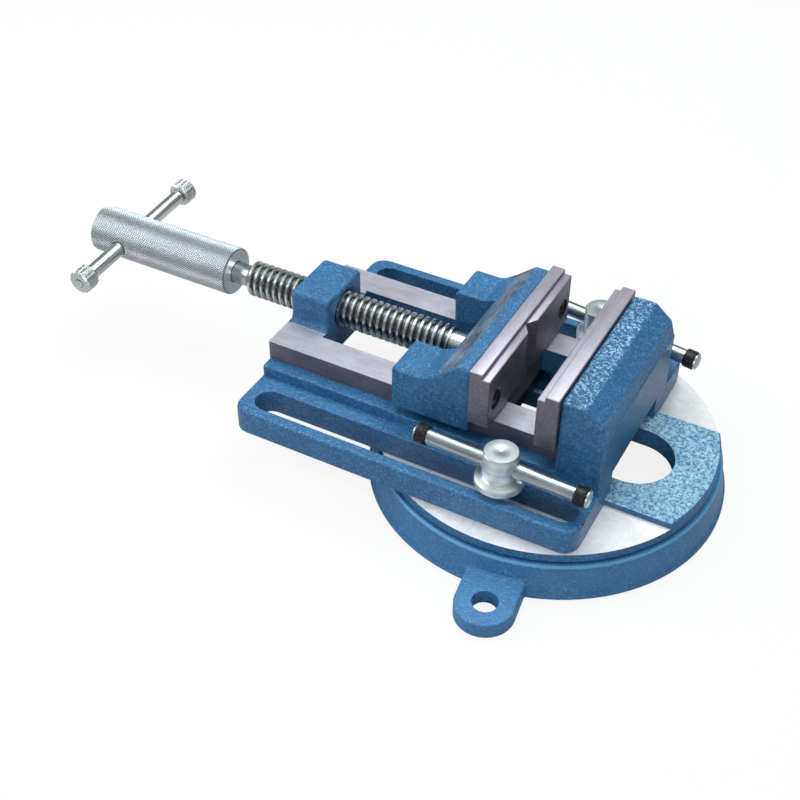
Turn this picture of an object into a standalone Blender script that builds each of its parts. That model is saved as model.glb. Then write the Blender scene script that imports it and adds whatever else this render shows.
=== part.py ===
"""A drill press vise with a 100 mm jaw on a swivel base.

The vise body slides along a raised strip on a turntable, and the turntable swivels in a base
ring with two bolt ears. Two T-handled clamp bolts lock both movements. A trapezoidal screw with
a knurled handle sleeve and a sliding tommy bar drives the moving jaw.

Frame: the origin is the middle of the vise's outline on the table. +Z is up, and +X runs along
the screw from the handle to the fixed jaw. All sizes are in metres. Places along X are counted
from the swivel axis, which stands SWIVEL_PLACE from the origin.
"""

import math

import bmesh
import bpy
from mathutils import Matrix, Vector

# Fits and shared values
GAP = 0.0003
CUT_OVERRUN = 0.002
MERGE_DISTANCE = 0.0001
WHOLE_FACE_ANGLE = math.radians(1.0)
SMOOTH_ANGLE = math.radians(35.0)
FINE_STEPS = 96
ROUND_STEPS = 32
SMALL_STEPS = 20
ARC_STEPS = 5
HEX_SIDES = 6

# Jaw plates
JAW_WIDTH = 0.1000
JAW_OPENING = 0.0240
FIXED_FACE = 0.0099
PLATE_THICKNESS = 0.0110
PLATE_HEIGHT = 0.0315
PLATE_CLEARANCE = 0.0027
PLATE_STEP_WIDTH = 0.0039
PLATE_STEP_DEPTH = 0.0028
PLATE_VEE_HALF_WIDTH = 0.0062
PLATE_VEE_DEPTH = 0.0040
PLATE_EDGE_BREAK = 0.0004
PLATE_SCREW_INSET = 0.0090
PLATE_SCREW_RISE = 0.0127
PLATE_SCREW_RADIUS = 0.0025
PLATE_SCREW_HEAD_RADIUS = 0.0045
PLATE_SCREW_SINK = 0.0009
PLATE_SCREW_DEPTH = 0.0200
HEX_SOCKET_RADIUS = 0.0018
HEX_SOCKET_DEPTH = 0.0032

# Vise body, counted from the jaws outwards and from the turntable upwards
JAW_SIDE_RECESS = 0.0020
JAW_OVERHANG = 0.0098
RAIL_WIDTH = 0.0164
RAIL_HEIGHT = 0.0110
RAIL_LIP_HEIGHT = 0.0140
RAIL_UNDERCUT = 0.0076
LEDGE_WIDTH = 0.0076
LEDGE_HEIGHT = 0.0060
FLANGE_RIM = 0.0138
FLANGE_HEIGHT = 0.0137
FLANGE_CORNER = 0.0085
BODY_LENGTH = 0.1899
BODY_SLOT_LEFT_WALL = 0.0073
BODY_SLOT_RIGHT_WALL = 0.0043
BODY_SLOT_HALF_WIDTH = 0.0074
TUNNEL_FLOOR_HEIGHT = 0.0079
TUNNEL_FLOOR_LENGTH = 0.0407
WEB_RISE = 0.0119
BOSS_THICKNESS = 0.0231
BOSS_HALF_WIDTH = 0.0177
BOSS_CROWN = 0.0146
BOSS_FOOT_FILLET = 0.0046
BOSS_FOOT_SINK = 0.0001
BOSS_EDGE_ROUND = 0.0028
FIXED_JAW_DROP = 0.0016
FIXED_JAW_FLAT = 0.0120
FIXED_JAW_SLOPE_RUN = 0.0095
FIXED_JAW_SLOPE_DROP = 0.0080
FIXED_JAW_BACK_RUN = 0.0026
FIXED_JAW_BACK_ROUND = 0.0080
CASTING_EDGE_ROUND = 0.0016
CASTING_STEP = 0.0003

# Turntable
TABLE_RIM_WIDTH = 0.0239
TABLE_RIM_HEIGHT = 0.0060
TABLE_RIM_CHAMFER = 0.0010
STRIP_INSET = 0.0103
STRIP_HEIGHT = 0.0033
STRIP_SLOT_HALF_WIDTH = 0.0206
STRIP_SLOT_END_WALL = 0.0209

# Base ring, counted outwards or inwards from the turntable
RING_SHOULDER = 0.0024
RING_TAPER = 0.0034
RING_WALL = 0.0103
RING_FOOT_WALL = 0.0117
RING_TOP_HEIGHT = 0.0188
RING_LIP_HEIGHT = 0.0032
RING_LIP_DEPTH = 0.0010
RING_EDGE_ROUND = 0.0012
RING_SEAT_DROP = 0.0016
RING_SEAT_THICKNESS = 0.0062
EAR_TURN = math.radians(8.0)
EAR_HOLE_RADIUS = 0.0065
EAR_REACH = 0.0148
EAR_HALF_WIDTH = 0.0150
EAR_HEIGHT = 0.0080
EAR_EDGE_ROUND = 0.0022
EAR_FLARE = 0.0042
EAR_ROOT_DEPTH = 0.0077
EAR_ROOT_FILLET = 0.0028

# Moving jaw
MOVING_JAW_DROP = 0.0018
MOVING_JAW_FLAT = 0.0075
MOVING_JAW_SLOPE_RUN = 0.0098
MOVING_JAW_SLOPE_DROP = 0.0082
MOVING_JAW_FOOT_RUN = 0.0082
WING_CROWN = 0.0151
WING_LENGTH = 0.0242
WING_INNER = 0.0230
WING_CORNER = 0.0030
JAW_BACK_DEPTH = 0.0185
SKIRT_HEIGHT = 0.0066
SKIRT_CORNER = 0.0028
TONGUE_LENGTH = 0.0270
KEEPER_THICKNESS = 0.0068
KEEPER_SCREW_RADIUS = 0.0025
KEEPER_SCREW_HEAD_RADIUS = 0.0045
KEEPER_SCREW_HEAD_HEIGHT = 0.0040
KEEPER_SCREW_DEPTH = 0.0090
KEEPER_SCREW_SIDE = 0.0150
KEEPER_SCREW_INSET = 0.0070
KEEPER_SOCKET_RADIUS = 0.0020
KEEPER_SOCKET_DEPTH = 0.0020

# Lead screw and handle
SCREW_RISE = 0.0035
SCREW_RADIUS = 0.0097
SCREW_END_RADIUS = 0.0078
SCREW_GROOVE_RADIUS = 0.0058
SCREW_GROOVE_WIDTH = 0.0042
SCREW_GROOVE_INSET = 0.0065
SCREW_OUT_LENGTH = 0.0342
SCREW_PLAIN_LENGTH = 0.0136
SCREW_END_DEPTH = 0.0140
SCREW_CHAMFER = 0.0015
NECK_RADIUS = 0.0060
NECK_LENGTH = 0.0120
SPIGOT_LENGTH = 0.0450
RETAINING_PIN_RADIUS = 0.0020
SLEEVE_LENGTH = 0.0916
SLEEVE_RADIUS = 0.0134
SLEEVE_EDGE_BREAK = 0.0006
TOMMY_INSET = 0.0200
TOMMY_TILT = math.radians(3.4)
TOMMY_RADIUS = 0.0041
TOMMY_NEAR_REACH = 0.0482
TOMMY_FAR_REACH = 0.0544
TOMMY_RIVET_RADIUS = 0.0024
TOMMY_RIVET_HEIGHT = 0.0006
KNOB_RADIUS = 0.0070
KNOB_LENGTH = 0.0090
KNOB_EDGE_BREAK = 0.0009

# Clamp bolts, counted outwards from the ledges and upwards from the flanges
CLAMP_OFFSET = 0.0162
CLAMP_SEAT_REACH = 0.0060
CLAMP_SHANK_RADIUS = 0.0050
CLAMP_FOOT_RADIUS = 0.0095
CLAMP_FOOT_HEIGHT = 0.0028
CLAMP_COLLAR_RADIUS = 0.0122
CLAMP_COLLAR_HEIGHT = 0.0040
CLAMP_NECK_RADIUS = 0.0080
CLAMP_NECK_HEIGHT = 0.0023
CLAMP_HEAD_RADIUS = 0.0088
CLAMP_HEAD_HEIGHT = 0.0135
CLAMP_EDGE_BREAK = 0.0007
CLAMP_BAR_RADIUS = 0.0040
CLAMP_BAR_RISE = 0.0048
CLAMP_BAR_HALF_LENGTH = 0.0465
CLAMP_END_RADIUS = 0.0045
CLAMP_END_LENGTH = 0.0014
CLAMP_CAP_RADIUS = 0.0050
CLAMP_CAP_LENGTH = 0.0058
CLAMP_CAP_EDGE_BREAK = 0.0004
NEAR_CLAMP_TURN = math.radians(-1.9)
FAR_CLAMP_TURN = math.radians(-8.0)
NEAR_CLAMP_SHIFT = 0.0
FAR_CLAMP_SHIFT = 0.0120
NUT_HALF_WIDTH = 0.0110
NUT_HEEL_REACH = 0.0140
NUT_EDGE_GAP = 0.0030
NUT_HEIGHT = 0.0065
NUT_HEEL_LENGTH = 0.0070
NUT_EDGE_BREAK = 0.0006

# Widths, worked out from the jaws outwards to the ears
FIXED_JAW_HALF_WIDTH = JAW_WIDTH / 2 - JAW_SIDE_RECESS
MOVING_JAW_HALF_WIDTH = JAW_WIDTH / 2 - JAW_SIDE_RECESS
PLATE_SCREW_SIDE = JAW_WIDTH / 2 - PLATE_SCREW_INSET
RAIL_HALF_WIDTH = JAW_WIDTH / 2 - JAW_OVERHANG
RAIL_GAP_HALF_WIDTH = RAIL_HALF_WIDTH - RAIL_WIDTH
TUNNEL_HALF_WIDTH = RAIL_GAP_HALF_WIDTH + RAIL_UNDERCUT
SKIRT_INNER = RAIL_HALF_WIDTH + GAP
TONGUE_HALF_WIDTH = RAIL_GAP_HALF_WIDTH - GAP
KEEPER_HALF_WIDTH = TUNNEL_HALF_WIDTH - GAP
LEDGE_HALF_WIDTH = RAIL_HALF_WIDTH + LEDGE_WIDTH
STRIP_HALF_WIDTH = LEDGE_HALF_WIDTH - STRIP_INSET
CLAMP_SIDE = LEDGE_HALF_WIDTH + CLAMP_OFFSET
FLANGE_HALF_WIDTH = CLAMP_SIDE + FLANGE_RIM
TABLE_RADIUS = CLAMP_SIDE + TABLE_RIM_WIDTH
RING_SEAT_RADIUS = CLAMP_SIDE + CLAMP_SEAT_REACH
RING_TOP_RADIUS = TABLE_RADIUS + RING_SHOULDER
RING_FOOT_RADIUS = RING_TOP_RADIUS + RING_TAPER
RING_UNDERCUT_RADIUS = RING_FOOT_RADIUS - RING_FOOT_WALL
TABLE_SPIGOT_RADIUS = RING_TOP_RADIUS - RING_WALL
STRIP_SLOT_END = TABLE_RADIUS - STRIP_SLOT_END_WALL
EAR_HOLE_CENTRE = RING_FOOT_RADIUS + EAR_REACH
EAR_ROOT_RADIUS = RING_FOOT_RADIUS - EAR_ROOT_DEPTH
NUT_INNER = CLAMP_SIDE - NUT_HEEL_REACH
NUT_OUTER = RING_UNDERCUT_RADIUS - NUT_EDGE_GAP

# Heights, worked out from the ring upwards
RING_SEAT_TOP = RING_TOP_HEIGHT - RING_SEAT_DROP
RING_SEAT_BOTTOM = RING_SEAT_TOP - RING_SEAT_THICKNESS
NUT_TOP = RING_SEAT_BOTTOM - GAP
NUT_BOTTOM = NUT_TOP - NUT_HEIGHT
TABLE_BOTTOM = RING_SEAT_TOP + GAP
TABLE_RIM_BOTTOM = RING_TOP_HEIGHT + GAP
TABLE_TOP = RING_TOP_HEIGHT + TABLE_RIM_HEIGHT
STRIP_TOP = TABLE_TOP + STRIP_HEIGHT
BODY_BOTTOM = TABLE_TOP + GAP
CHANNEL_TOP = STRIP_TOP + GAP
TUNNEL_FLOOR_TOP = BODY_BOTTOM + TUNNEL_FLOOR_HEIGHT
WEB_BOTTOM = BODY_BOTTOM + WEB_RISE
FLANGE_TOP = BODY_BOTTOM + FLANGE_HEIGHT
LEDGE_TOP = FLANGE_TOP + LEDGE_HEIGHT
RAIL_TOP = LEDGE_TOP + RAIL_HEIGHT
RAIL_LIP_BOTTOM = RAIL_TOP - RAIL_LIP_HEIGHT
TONGUE_BOTTOM = RAIL_LIP_BOTTOM
KEEPER_TOP = RAIL_LIP_BOTTOM - GAP
KEEPER_BOTTOM = KEEPER_TOP - KEEPER_THICKNESS
SADDLE_BOTTOM = RAIL_TOP + GAP
SKIRT_BOTTOM = RAIL_TOP - SKIRT_HEIGHT
SCREW_HEIGHT = RAIL_TOP + SCREW_RISE
BOSS_TOP = SCREW_HEIGHT + BOSS_CROWN
WING_TOP = SCREW_HEIGHT + WING_CROWN
PLATE_BOTTOM = RAIL_TOP + PLATE_CLEARANCE
PLATE_TOP = PLATE_BOTTOM + PLATE_HEIGHT
PLATE_SCREW_HEIGHT = PLATE_BOTTOM + PLATE_SCREW_RISE
FIXED_JAW_TOP = PLATE_TOP - FIXED_JAW_DROP
MOVING_JAW_TOP = PLATE_TOP - MOVING_JAW_DROP
CLAMP_FOOT_BOTTOM = FLANGE_TOP + GAP
CLAMP_COLLAR_BOTTOM = CLAMP_FOOT_BOTTOM + CLAMP_FOOT_HEIGHT
CLAMP_COLLAR_TOP = CLAMP_COLLAR_BOTTOM + CLAMP_COLLAR_HEIGHT
CLAMP_HEAD_BOTTOM = CLAMP_COLLAR_TOP + CLAMP_NECK_HEIGHT
CLAMP_HEAD_TOP = CLAMP_HEAD_BOTTOM + CLAMP_HEAD_HEIGHT
CLAMP_BAR_HEIGHT = CLAMP_HEAD_BOTTOM + CLAMP_BAR_RISE

# Places along the screw, worked out from the fixed plate's face, which is counted from the swivel axis
MOVING_FACE = FIXED_FACE - JAW_OPENING
FIXED_PLATE_BACK = FIXED_FACE + PLATE_THICKNESS
MOVING_PLATE_BACK = MOVING_FACE - PLATE_THICKNESS
FIXED_JAW_FRONT = FIXED_PLATE_BACK + GAP
FIXED_SLOPE_END = FIXED_JAW_FRONT + FIXED_JAW_FLAT + FIXED_JAW_SLOPE_RUN
BODY_RIGHT = FIXED_SLOPE_END + FIXED_JAW_BACK_RUN
BODY_LEFT = BODY_RIGHT - BODY_LENGTH
BODY_SLOT_LEFT = BODY_LEFT + BODY_SLOT_LEFT_WALL
BODY_SLOT_RIGHT = BODY_RIGHT - BODY_SLOT_RIGHT_WALL
TUNNEL_FLOOR_START = FIXED_JAW_FRONT - TUNNEL_FLOOR_LENGTH
BOSS_RIGHT = BODY_LEFT + BOSS_THICKNESS
MOVING_JAW_FRONT = MOVING_PLATE_BACK - GAP
JAW_BACK = MOVING_JAW_FRONT - JAW_BACK_DEPTH
WING_LEFT = JAW_BACK - WING_LENGTH
TONGUE_LEFT = JAW_BACK + GAP
TONGUE_RIGHT = TONGUE_LEFT + TONGUE_LENGTH
SCREW_RIGHT = JAW_BACK + SCREW_END_DEPTH
SCREW_GROOVE_PLACE = SCREW_RIGHT - SCREW_GROOVE_INSET
SCREW_THREAD_RIGHT = JAW_BACK - SCREW_PLAIN_LENGTH
SCREW_THREAD_LEFT = BODY_LEFT - SCREW_OUT_LENGTH
SLEEVE_RIGHT = SCREW_THREAD_LEFT - NECK_LENGTH
SLEEVE_LEFT = SLEEVE_RIGHT - SLEEVE_LENGTH
TOMMY_PLACE = SLEEVE_LEFT + TOMMY_INSET
SWIVEL_PLACE = -(SLEEVE_LEFT + RING_FOOT_RADIUS) / 2


def clear_scene():
    """Remove every object, so that the model starts from nothing."""
    for item in list(bpy.data.objects):
        bpy.data.objects.remove(item, do_unlink=True)


def make_collection(name):
    """Make a collection in the scene."""
    collection = bpy.data.collections.new(name)
    bpy.context.scene.collection.children.link(collection)
    return collection


def make_material(name, colour, roughness, metallic):
    """Make a Principled material."""
    material = bpy.data.materials.new(name)
    material.use_nodes = True
    shader = material.node_tree.nodes["Principled BSDF"]
    shader.inputs["Base Color"].default_value = (*colour, 1.0)
    shader.inputs["Roughness"].default_value = roughness
    shader.inputs["Metallic"].default_value = metallic
    material.diffuse_color = (*colour, 1.0)
    return material


FINISHES = {
    "blue_enamel": ((0.030, 0.150, 0.370), 0.38, 0.0),
    "ground_steel": ((0.430, 0.430, 0.470), 0.32, 1.0),
    "bright_zinc": ((0.740, 0.760, 0.780), 0.22, 1.0),
    "dark_steel": ((0.160, 0.160, 0.180), 0.40, 1.0),
    "black_oxide": ((0.025, 0.022, 0.022), 0.45, 0.8),
}


def hang(item, axis):
    """Parent a piece or a guide to an axis empty, where it stands now."""
    item.parent = axis
    item.matrix_parent_inverse = Matrix.Translation(-axis.matrix_world.translation + Vector((SWIVEL_PLACE, 0, 0)))


def link_part(item, collection, finish):
    """Put a finished piece in the part's collection, with its own material."""
    for owner in list(item.users_collection):
        owner.objects.unlink(item)
    collection.objects.link(item)
    colour, roughness, metallic = FINISHES[finish]
    item.data.materials.clear()
    item.data.materials.append(make_material(f"{item.name}_{finish}", colour, roughness, metallic))
    item.data.shade_smooth()
    item.data.set_sharp_from_angle(angle=SMOOTH_ANGLE)
    return item


def link_guide(item, collection):
    """Put a cutter or a joined shape in the cutters' collection, out of the render."""
    for owner in list(item.users_collection):
        owner.objects.unlink(item)
    collection.objects.link(item)
    item.hide_render = True
    item.display_type = "WIRE"
    return item


def mesh_object(name, mesh_builder):
    """Make an object from a bmesh that mesh_builder fills."""
    mesh = bpy.data.meshes.new(name)
    builder = bmesh.new()
    mesh_builder(builder)
    bmesh.ops.recalc_face_normals(builder, faces=builder.faces)
    builder.to_mesh(mesh)
    builder.free()
    item = bpy.data.objects.new(name, mesh)
    bpy.context.scene.collection.objects.link(item)
    return item


def make_box(name, low, high):
    """Make a box between two corners."""
    low = Vector(low)
    high = Vector(high)

    def fill(builder):
        bmesh.ops.create_cube(builder, size=1.0)
        bmesh.ops.scale(builder, vec=high - low, verts=builder.verts)
        bmesh.ops.translate(builder, vec=(low + high) / 2, verts=builder.verts)

    return mesh_object(name, fill)


def make_rod(name, start, end, radius, steps=ROUND_STEPS, end_radius=None):
    """Make a cylinder or a cone between two points."""
    start = Vector(start)
    end = Vector(end)
    span = end - start

    def fill(builder):
        bmesh.ops.create_cone(
            builder,
            cap_ends=True,
            segments=steps,
            radius1=radius,
            radius2=radius if end_radius is None else end_radius,
            depth=span.length,
        )
        turn = span.to_track_quat("Z", "Y").to_matrix().to_4x4()
        bmesh.ops.transform(builder, matrix=Matrix.Translation((start + end) / 2) @ turn, verts=builder.verts)

    return mesh_object(name, fill)


AXES = {
    "Z": Matrix.Identity(4),
    "X": Matrix.Rotation(math.radians(90), 4, "Y"),
    "-X": Matrix.Rotation(math.radians(-90), 4, "Y"),
}


def make_turned(name, profile, steps, place=(0, 0, 0), axis="Z"):
    """Turn a closed or axis-to-axis profile of (radius, height) pairs about an axis.

    The profile runs down its outer side, from the top to the bottom.
    """
    closed = profile[0] == profile[-1]
    points = profile[:-1] if closed else profile

    def fill(builder):
        corners = [builder.verts.new((radius, 0, height)) for radius, height in points]
        for first, second in zip(corners, corners[1:]):
            builder.edges.new((first, second))
        if closed:
            builder.edges.new((corners[-1], corners[0]))

    item = mesh_object(name, fill)
    screw = item.modifiers.new("Turn", "SCREW")
    screw.axis = "Z"
    screw.angle = math.tau
    screw.steps = steps
    screw.render_steps = steps
    screw.use_merge_vertices = True
    screw.merge_threshold = MERGE_DISTANCE
    screw.use_normal_calculate = False
    return bake(item, Matrix.Translation(place) @ AXES[axis])


def bake(item, matrix=None):
    """Replace a curve or a modified mesh by its evaluated mesh, moved by the matrix."""
    bpy.context.view_layer.update()
    evaluated = item.evaluated_get(bpy.context.evaluated_depsgraph_get())
    mesh = bpy.data.meshes.new_from_object(evaluated)
    name = item.name
    builder = bmesh.new()
    builder.from_mesh(mesh)
    bmesh.ops.remove_doubles(builder, verts=builder.verts, dist=MERGE_DISTANCE / 10)
    bmesh.ops.transform(builder, matrix=matrix or Matrix.Identity(4), verts=builder.verts)
    bmesh.ops.recalc_face_normals(builder, faces=builder.faces)
    builder.to_mesh(mesh)
    builder.free()
    bpy.data.objects.remove(item, do_unlink=True)
    fresh = bpy.data.objects.new(name, mesh)
    bpy.context.scene.collection.objects.link(fresh)
    return fresh


PLANES = {
    "XY": Matrix.Identity(4),
    "XZ": Matrix.Rotation(math.radians(90), 4, "X"),
    "YZ": Matrix(((0, 0, 1, 0), (1, 0, 0, 0), (0, 1, 0, 0), (0, 0, 0, 1))),
}


def make_plate(name, outline, low, high, plane="XY"):
    """Make a flat outline solid between two levels along the plane's normal.

    In the XZ plane the levels are counted along -Y, and in the YZ plane along +X.
    """
    curve = bpy.data.curves.new(name, "CURVE")
    curve.dimensions = "2D"
    curve.fill_mode = "BOTH"
    curve.extrude = (high - low) / 2
    spline = curve.splines.new("POLY")
    spline.points.add(len(outline) - 1)
    for point, (across, along) in zip(spline.points, outline):
        point.co = (across, along, 0, 1)
    spline.use_cyclic_u = True
    item = bpy.data.objects.new(name, curve)
    bpy.context.scene.collection.objects.link(item)
    return bake(item, PLANES[plane] @ Matrix.Translation((0, 0, (low + high) / 2)))


def arc(centre, radius, start, end, steps=ARC_STEPS):
    """Points of an arc, with both ends, between two angles in degrees."""
    points = []
    for index in range(steps + 1):
        angle = math.radians(start + (end - start) * index / steps)
        points.append((centre[0] + radius * math.cos(angle), centre[1] + radius * math.sin(angle)))
    return points


def rounded(corners):
    """An outline through corners, each with its own rounding radius."""
    outline = []
    for index, (across, along, radius) in enumerate(corners):
        here = Vector((across, along))
        if not radius:
            outline.append(tuple(here))
            continue
        before = Vector(corners[index - 1][:2])
        after = Vector(corners[(index + 1) % len(corners)][:2])
        inward = (before - here).normalized()
        outward = (after - here).normalized()
        half = inward.angle(outward) / 2
        centre = here + (inward + outward).normalized() * radius / math.sin(half)
        first = here + inward * radius / math.tan(half) - centre
        last = here + outward * radius / math.tan(half) - centre
        start = math.atan2(first.y, first.x)
        sweep = (math.atan2(last.y, last.x) - start + math.pi) % math.tau - math.pi
        outline += arc(centre, radius, math.degrees(start), math.degrees(start + sweep))
    return outline


def slot_outline(left, right, middle, half_width):
    """An obround between two outermost ends along X."""
    steps = ARC_STEPS * 2
    right_end = arc((right - half_width, middle), half_width, -90, 90, steps)
    left_end = arc((left + half_width, middle), half_width, 90, 270, steps)
    return right_end + left_end


def combine(item, guide, operation):
    """Add a Boolean modifier with a mesh guide."""
    modifier = item.modifiers.new(guide.name, "BOOLEAN")
    modifier.operation = operation
    modifier.solver = "EXACT"
    modifier.object = guide
    return item


def soften(item, width, segments=2, limit=40.0):
    """Round the edges that are sharper than the limit, once each flat face is whole."""
    whole = item.modifiers.new("Whole faces", "DECIMATE")
    whole.decimate_type = "DISSOLVE"
    whole.angle_limit = WHOLE_FACE_ANGLE
    modifier = item.modifiers.new("Soften", "BEVEL")
    modifier.width = width
    modifier.segments = segments
    modifier.limit_method = "ANGLE"
    modifier.angle_limit = math.radians(limit)
    return item


class Workshop:
    """The collections, the axis empties and the axis that the current pieces hang on."""

    def __init__(self):
        clear_scene()
        self.parts = make_collection("drill_press_vise")
        self.guides = make_collection("cutters")
        self.axes = make_collection("joint_axes")
        self.axis = None

    def stand_on(self, name, place, parent=None):
        """Make an empty on a joint's axis, for the pieces that follow."""
        axis = bpy.data.objects.new(name, None)
        self.axes.objects.link(axis)
        axis.hide_render = True
        world = Vector(place) + Vector((SWIVEL_PLACE, 0, 0))
        axis.parent = parent
        axis.location = world - (parent.matrix_world.translation if parent else Vector((0, 0, 0)))
        bpy.context.view_layer.update()
        self.axis = axis
        return axis

    def part(self, item, finish):
        """Hang a finished piece on the current axis and give it its finish."""
        hang(item, self.axis)
        return link_part(item, self.parts, finish)

    def combine(self, item, guide, operation):
        """Cut or join a piece with a guide that hangs on the same axis."""
        hang(guide, self.axis)
        return combine(item, link_guide(guide, self.guides), operation)

    def cut(self, item, guide):
        return self.combine(item, guide, "DIFFERENCE")

    def join(self, item, guide):
        return self.combine(item, guide, "UNION")


def ear_place(side):
    """Direction of an ear's centre line from the swivel axis."""
    angle = EAR_TURN - math.pi / 2 + (math.pi if side > 0 else 0.0)
    return Vector((math.cos(angle), math.sin(angle), 0))


def face_ear(side, plan):
    """Turn a plan, whose X runs outwards from the swivel axis, towards an ear."""
    heading = ear_place(side)
    return [(heading.x * out - heading.y * along, heading.y * out + heading.x * along) for out, along in plan]


def ear_wall_radius(height):
    """Radius of the ring's tapered wall at a height."""
    share = (height - RING_LIP_HEIGHT) / (RING_TOP_HEIGHT - RING_EDGE_ROUND - RING_LIP_HEIGHT)
    return RING_FOOT_RADIUS - RING_LIP_DEPTH - (RING_TAPER - RING_LIP_DEPTH) * share


def ear_outline(side):
    """An ear from above: a round tip, straight sides and a flare that ends inside the ring's wall."""
    flare_side = EAR_HALF_WIDTH + EAR_FLARE
    flare_reach = math.sqrt((ear_wall_radius(EAR_HEIGHT) - GAP + EAR_FLARE) ** 2 - flare_side**2)
    lean = math.atan2(flare_side, flare_reach)
    last = Vector((flare_reach, flare_side)) - Vector((math.cos(lean), math.sin(lean))) * EAR_FLARE
    shoulder = last + Vector((-math.sin(lean), math.cos(lean))) * EAR_EDGE_ROUND * 2
    lean = math.degrees(lean)
    plan = [(EAR_ROOT_RADIUS, -shoulder.y), (shoulder.x, -shoulder.y)]
    plan += arc((flare_reach, -flare_side), EAR_FLARE, 180 - lean, 90)
    plan += arc((EAR_HOLE_CENTRE, 0), EAR_HALF_WIDTH, -90, 90, ARC_STEPS * 3)
    plan += arc((flare_reach, flare_side), EAR_FLARE, 270, 180 + lean)
    plan += [(shoulder.x, shoulder.y), (EAR_ROOT_RADIUS, shoulder.y)]
    return face_ear(side, plan)


def add_ear(shop, ring, side, word):
    """Join a bored ear with a rounded edge to the ring, and fill the corner over its root."""
    ear = make_plate(f"ear_{word}", ear_outline(side), -EAR_HEIGHT, EAR_HEIGHT)
    soften(ear, EAR_EDGE_ROUND)
    half = RING_FOOT_RADIUS + EAR_REACH + EAR_HALF_WIDTH + CUT_OVERRUN
    below = make_box(f"below_ear_{word}", (-half, -half, -EAR_HEIGHT - CUT_OVERRUN), (half, half, 0))
    shop.cut(ear, below)
    shop.join(ring, ear)
    top = EAR_HEIGHT + EAR_ROOT_FILLET
    wall = ear_wall_radius(top)
    profile = [(EAR_ROOT_RADIUS, top), (wall, top)]
    profile += arc((wall + EAR_ROOT_FILLET, top), EAR_ROOT_FILLET, 180, 270)[1:]
    profile += [(wall + EAR_ROOT_FILLET, EAR_HEIGHT / 2), (EAR_ROOT_RADIUS, EAR_HEIGHT / 2)]
    profile += [(EAR_ROOT_RADIUS, top)]
    fillet = make_turned(f"ear_fillet_{word}", profile, FINE_STEPS)
    half_width = EAR_HALF_WIDTH - EAR_EDGE_ROUND / 2
    plan = [(0, -half_width), (EAR_HOLE_CENTRE, -half_width), (EAR_HOLE_CENTRE, half_width), (0, half_width)]
    sector = make_plate(f"ear_sector_{word}", face_ear(side, plan), EAR_HEIGHT / 3, top + CUT_OVERRUN)
    shop.combine(fillet, sector, "INTERSECT")
    shop.join(ring, fillet)
    tip = ear_place(side) * EAR_HOLE_CENTRE
    low = tip - Vector((0, 0, CUT_OVERRUN))
    high = tip + Vector((0, 0, EAR_HEIGHT + CUT_OVERRUN))
    shop.cut(ring, make_rod(f"ear_{word}_hole", low, high, EAR_HOLE_RADIUS, SMALL_STEPS))


def build_base_ring(shop):
    """The lower casting: a tapered ring with an inner seat lip and two bolt ears."""
    wall_top = RING_TOP_HEIGHT - RING_EDGE_ROUND
    profile = [
        (TABLE_SPIGOT_RADIUS + GAP, RING_TOP_HEIGHT),
        (RING_TOP_RADIUS - RING_EDGE_ROUND, RING_TOP_HEIGHT),
        (RING_TOP_RADIUS - RING_EDGE_ROUND / 3, RING_TOP_HEIGHT - RING_EDGE_ROUND / 3),
        (RING_TOP_RADIUS, wall_top),
        (RING_FOOT_RADIUS - RING_LIP_DEPTH, RING_LIP_HEIGHT),
        (RING_FOOT_RADIUS, RING_LIP_HEIGHT - RING_LIP_DEPTH),
        (RING_FOOT_RADIUS, 0),
        (RING_UNDERCUT_RADIUS, 0),
        (RING_UNDERCUT_RADIUS, RING_SEAT_BOTTOM),
        (RING_SEAT_RADIUS, RING_SEAT_BOTTOM),
        (RING_SEAT_RADIUS, RING_SEAT_TOP),
        (TABLE_SPIGOT_RADIUS + GAP, RING_SEAT_TOP),
        (TABLE_SPIGOT_RADIUS + GAP, RING_TOP_HEIGHT),
    ]
    ring = make_turned("base_ring", profile, FINE_STEPS)
    for side, word in ((-1, "near"), (1, "far")):
        add_ear(shop, ring, side, word)
    return shop.part(ring, "blue_enamel")


def build_turntable(shop):
    """The upper disc, with its raised strip, the slot along it and two bolt holes."""
    profile = [
        (0, STRIP_TOP),
        (TABLE_RADIUS, STRIP_TOP),
        (TABLE_RADIUS, TABLE_RIM_BOTTOM + TABLE_RIM_CHAMFER),
        (TABLE_RADIUS - TABLE_RIM_CHAMFER, TABLE_RIM_BOTTOM),
        (TABLE_SPIGOT_RADIUS, TABLE_RIM_BOTTOM),
        (TABLE_SPIGOT_RADIUS, TABLE_BOTTOM),
        (0, TABLE_BOTTOM),
    ]
    disc = make_turned("turntable", profile, FINE_STEPS)
    outside = TABLE_RADIUS + CUT_OVERRUN
    for side, word in ((-1, "near"), (1, "far")):
        low = min(side * STRIP_HALF_WIDTH, side * outside)
        high = max(side * STRIP_HALF_WIDTH, side * outside)
        shop.cut(
            disc,
            make_box(f"machined_{word}", (-outside, low, TABLE_TOP), (outside, high, STRIP_TOP + CUT_OVERRUN)),
        )
    slot = slot_outline(-STRIP_SLOT_END, STRIP_SLOT_END, 0, STRIP_SLOT_HALF_WIDTH)
    shop.cut(disc, make_plate("strip_slot", slot, TABLE_BOTTOM - CUT_OVERRUN, STRIP_TOP + CUT_OVERRUN))
    for side, word in ((-1, "near"), (1, "far")):
        low = (0, side * CLAMP_SIDE, TABLE_BOTTOM - CUT_OVERRUN)
        high = (0, side * CLAMP_SIDE, TABLE_TOP + CUT_OVERRUN)
        shop.cut(disc, make_rod(f"bolt_hole_{word}", low, high, CLAMP_SHANK_RADIUS + GAP, SMALL_STEPS))
    return shop.part(disc, "blue_enamel")


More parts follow.
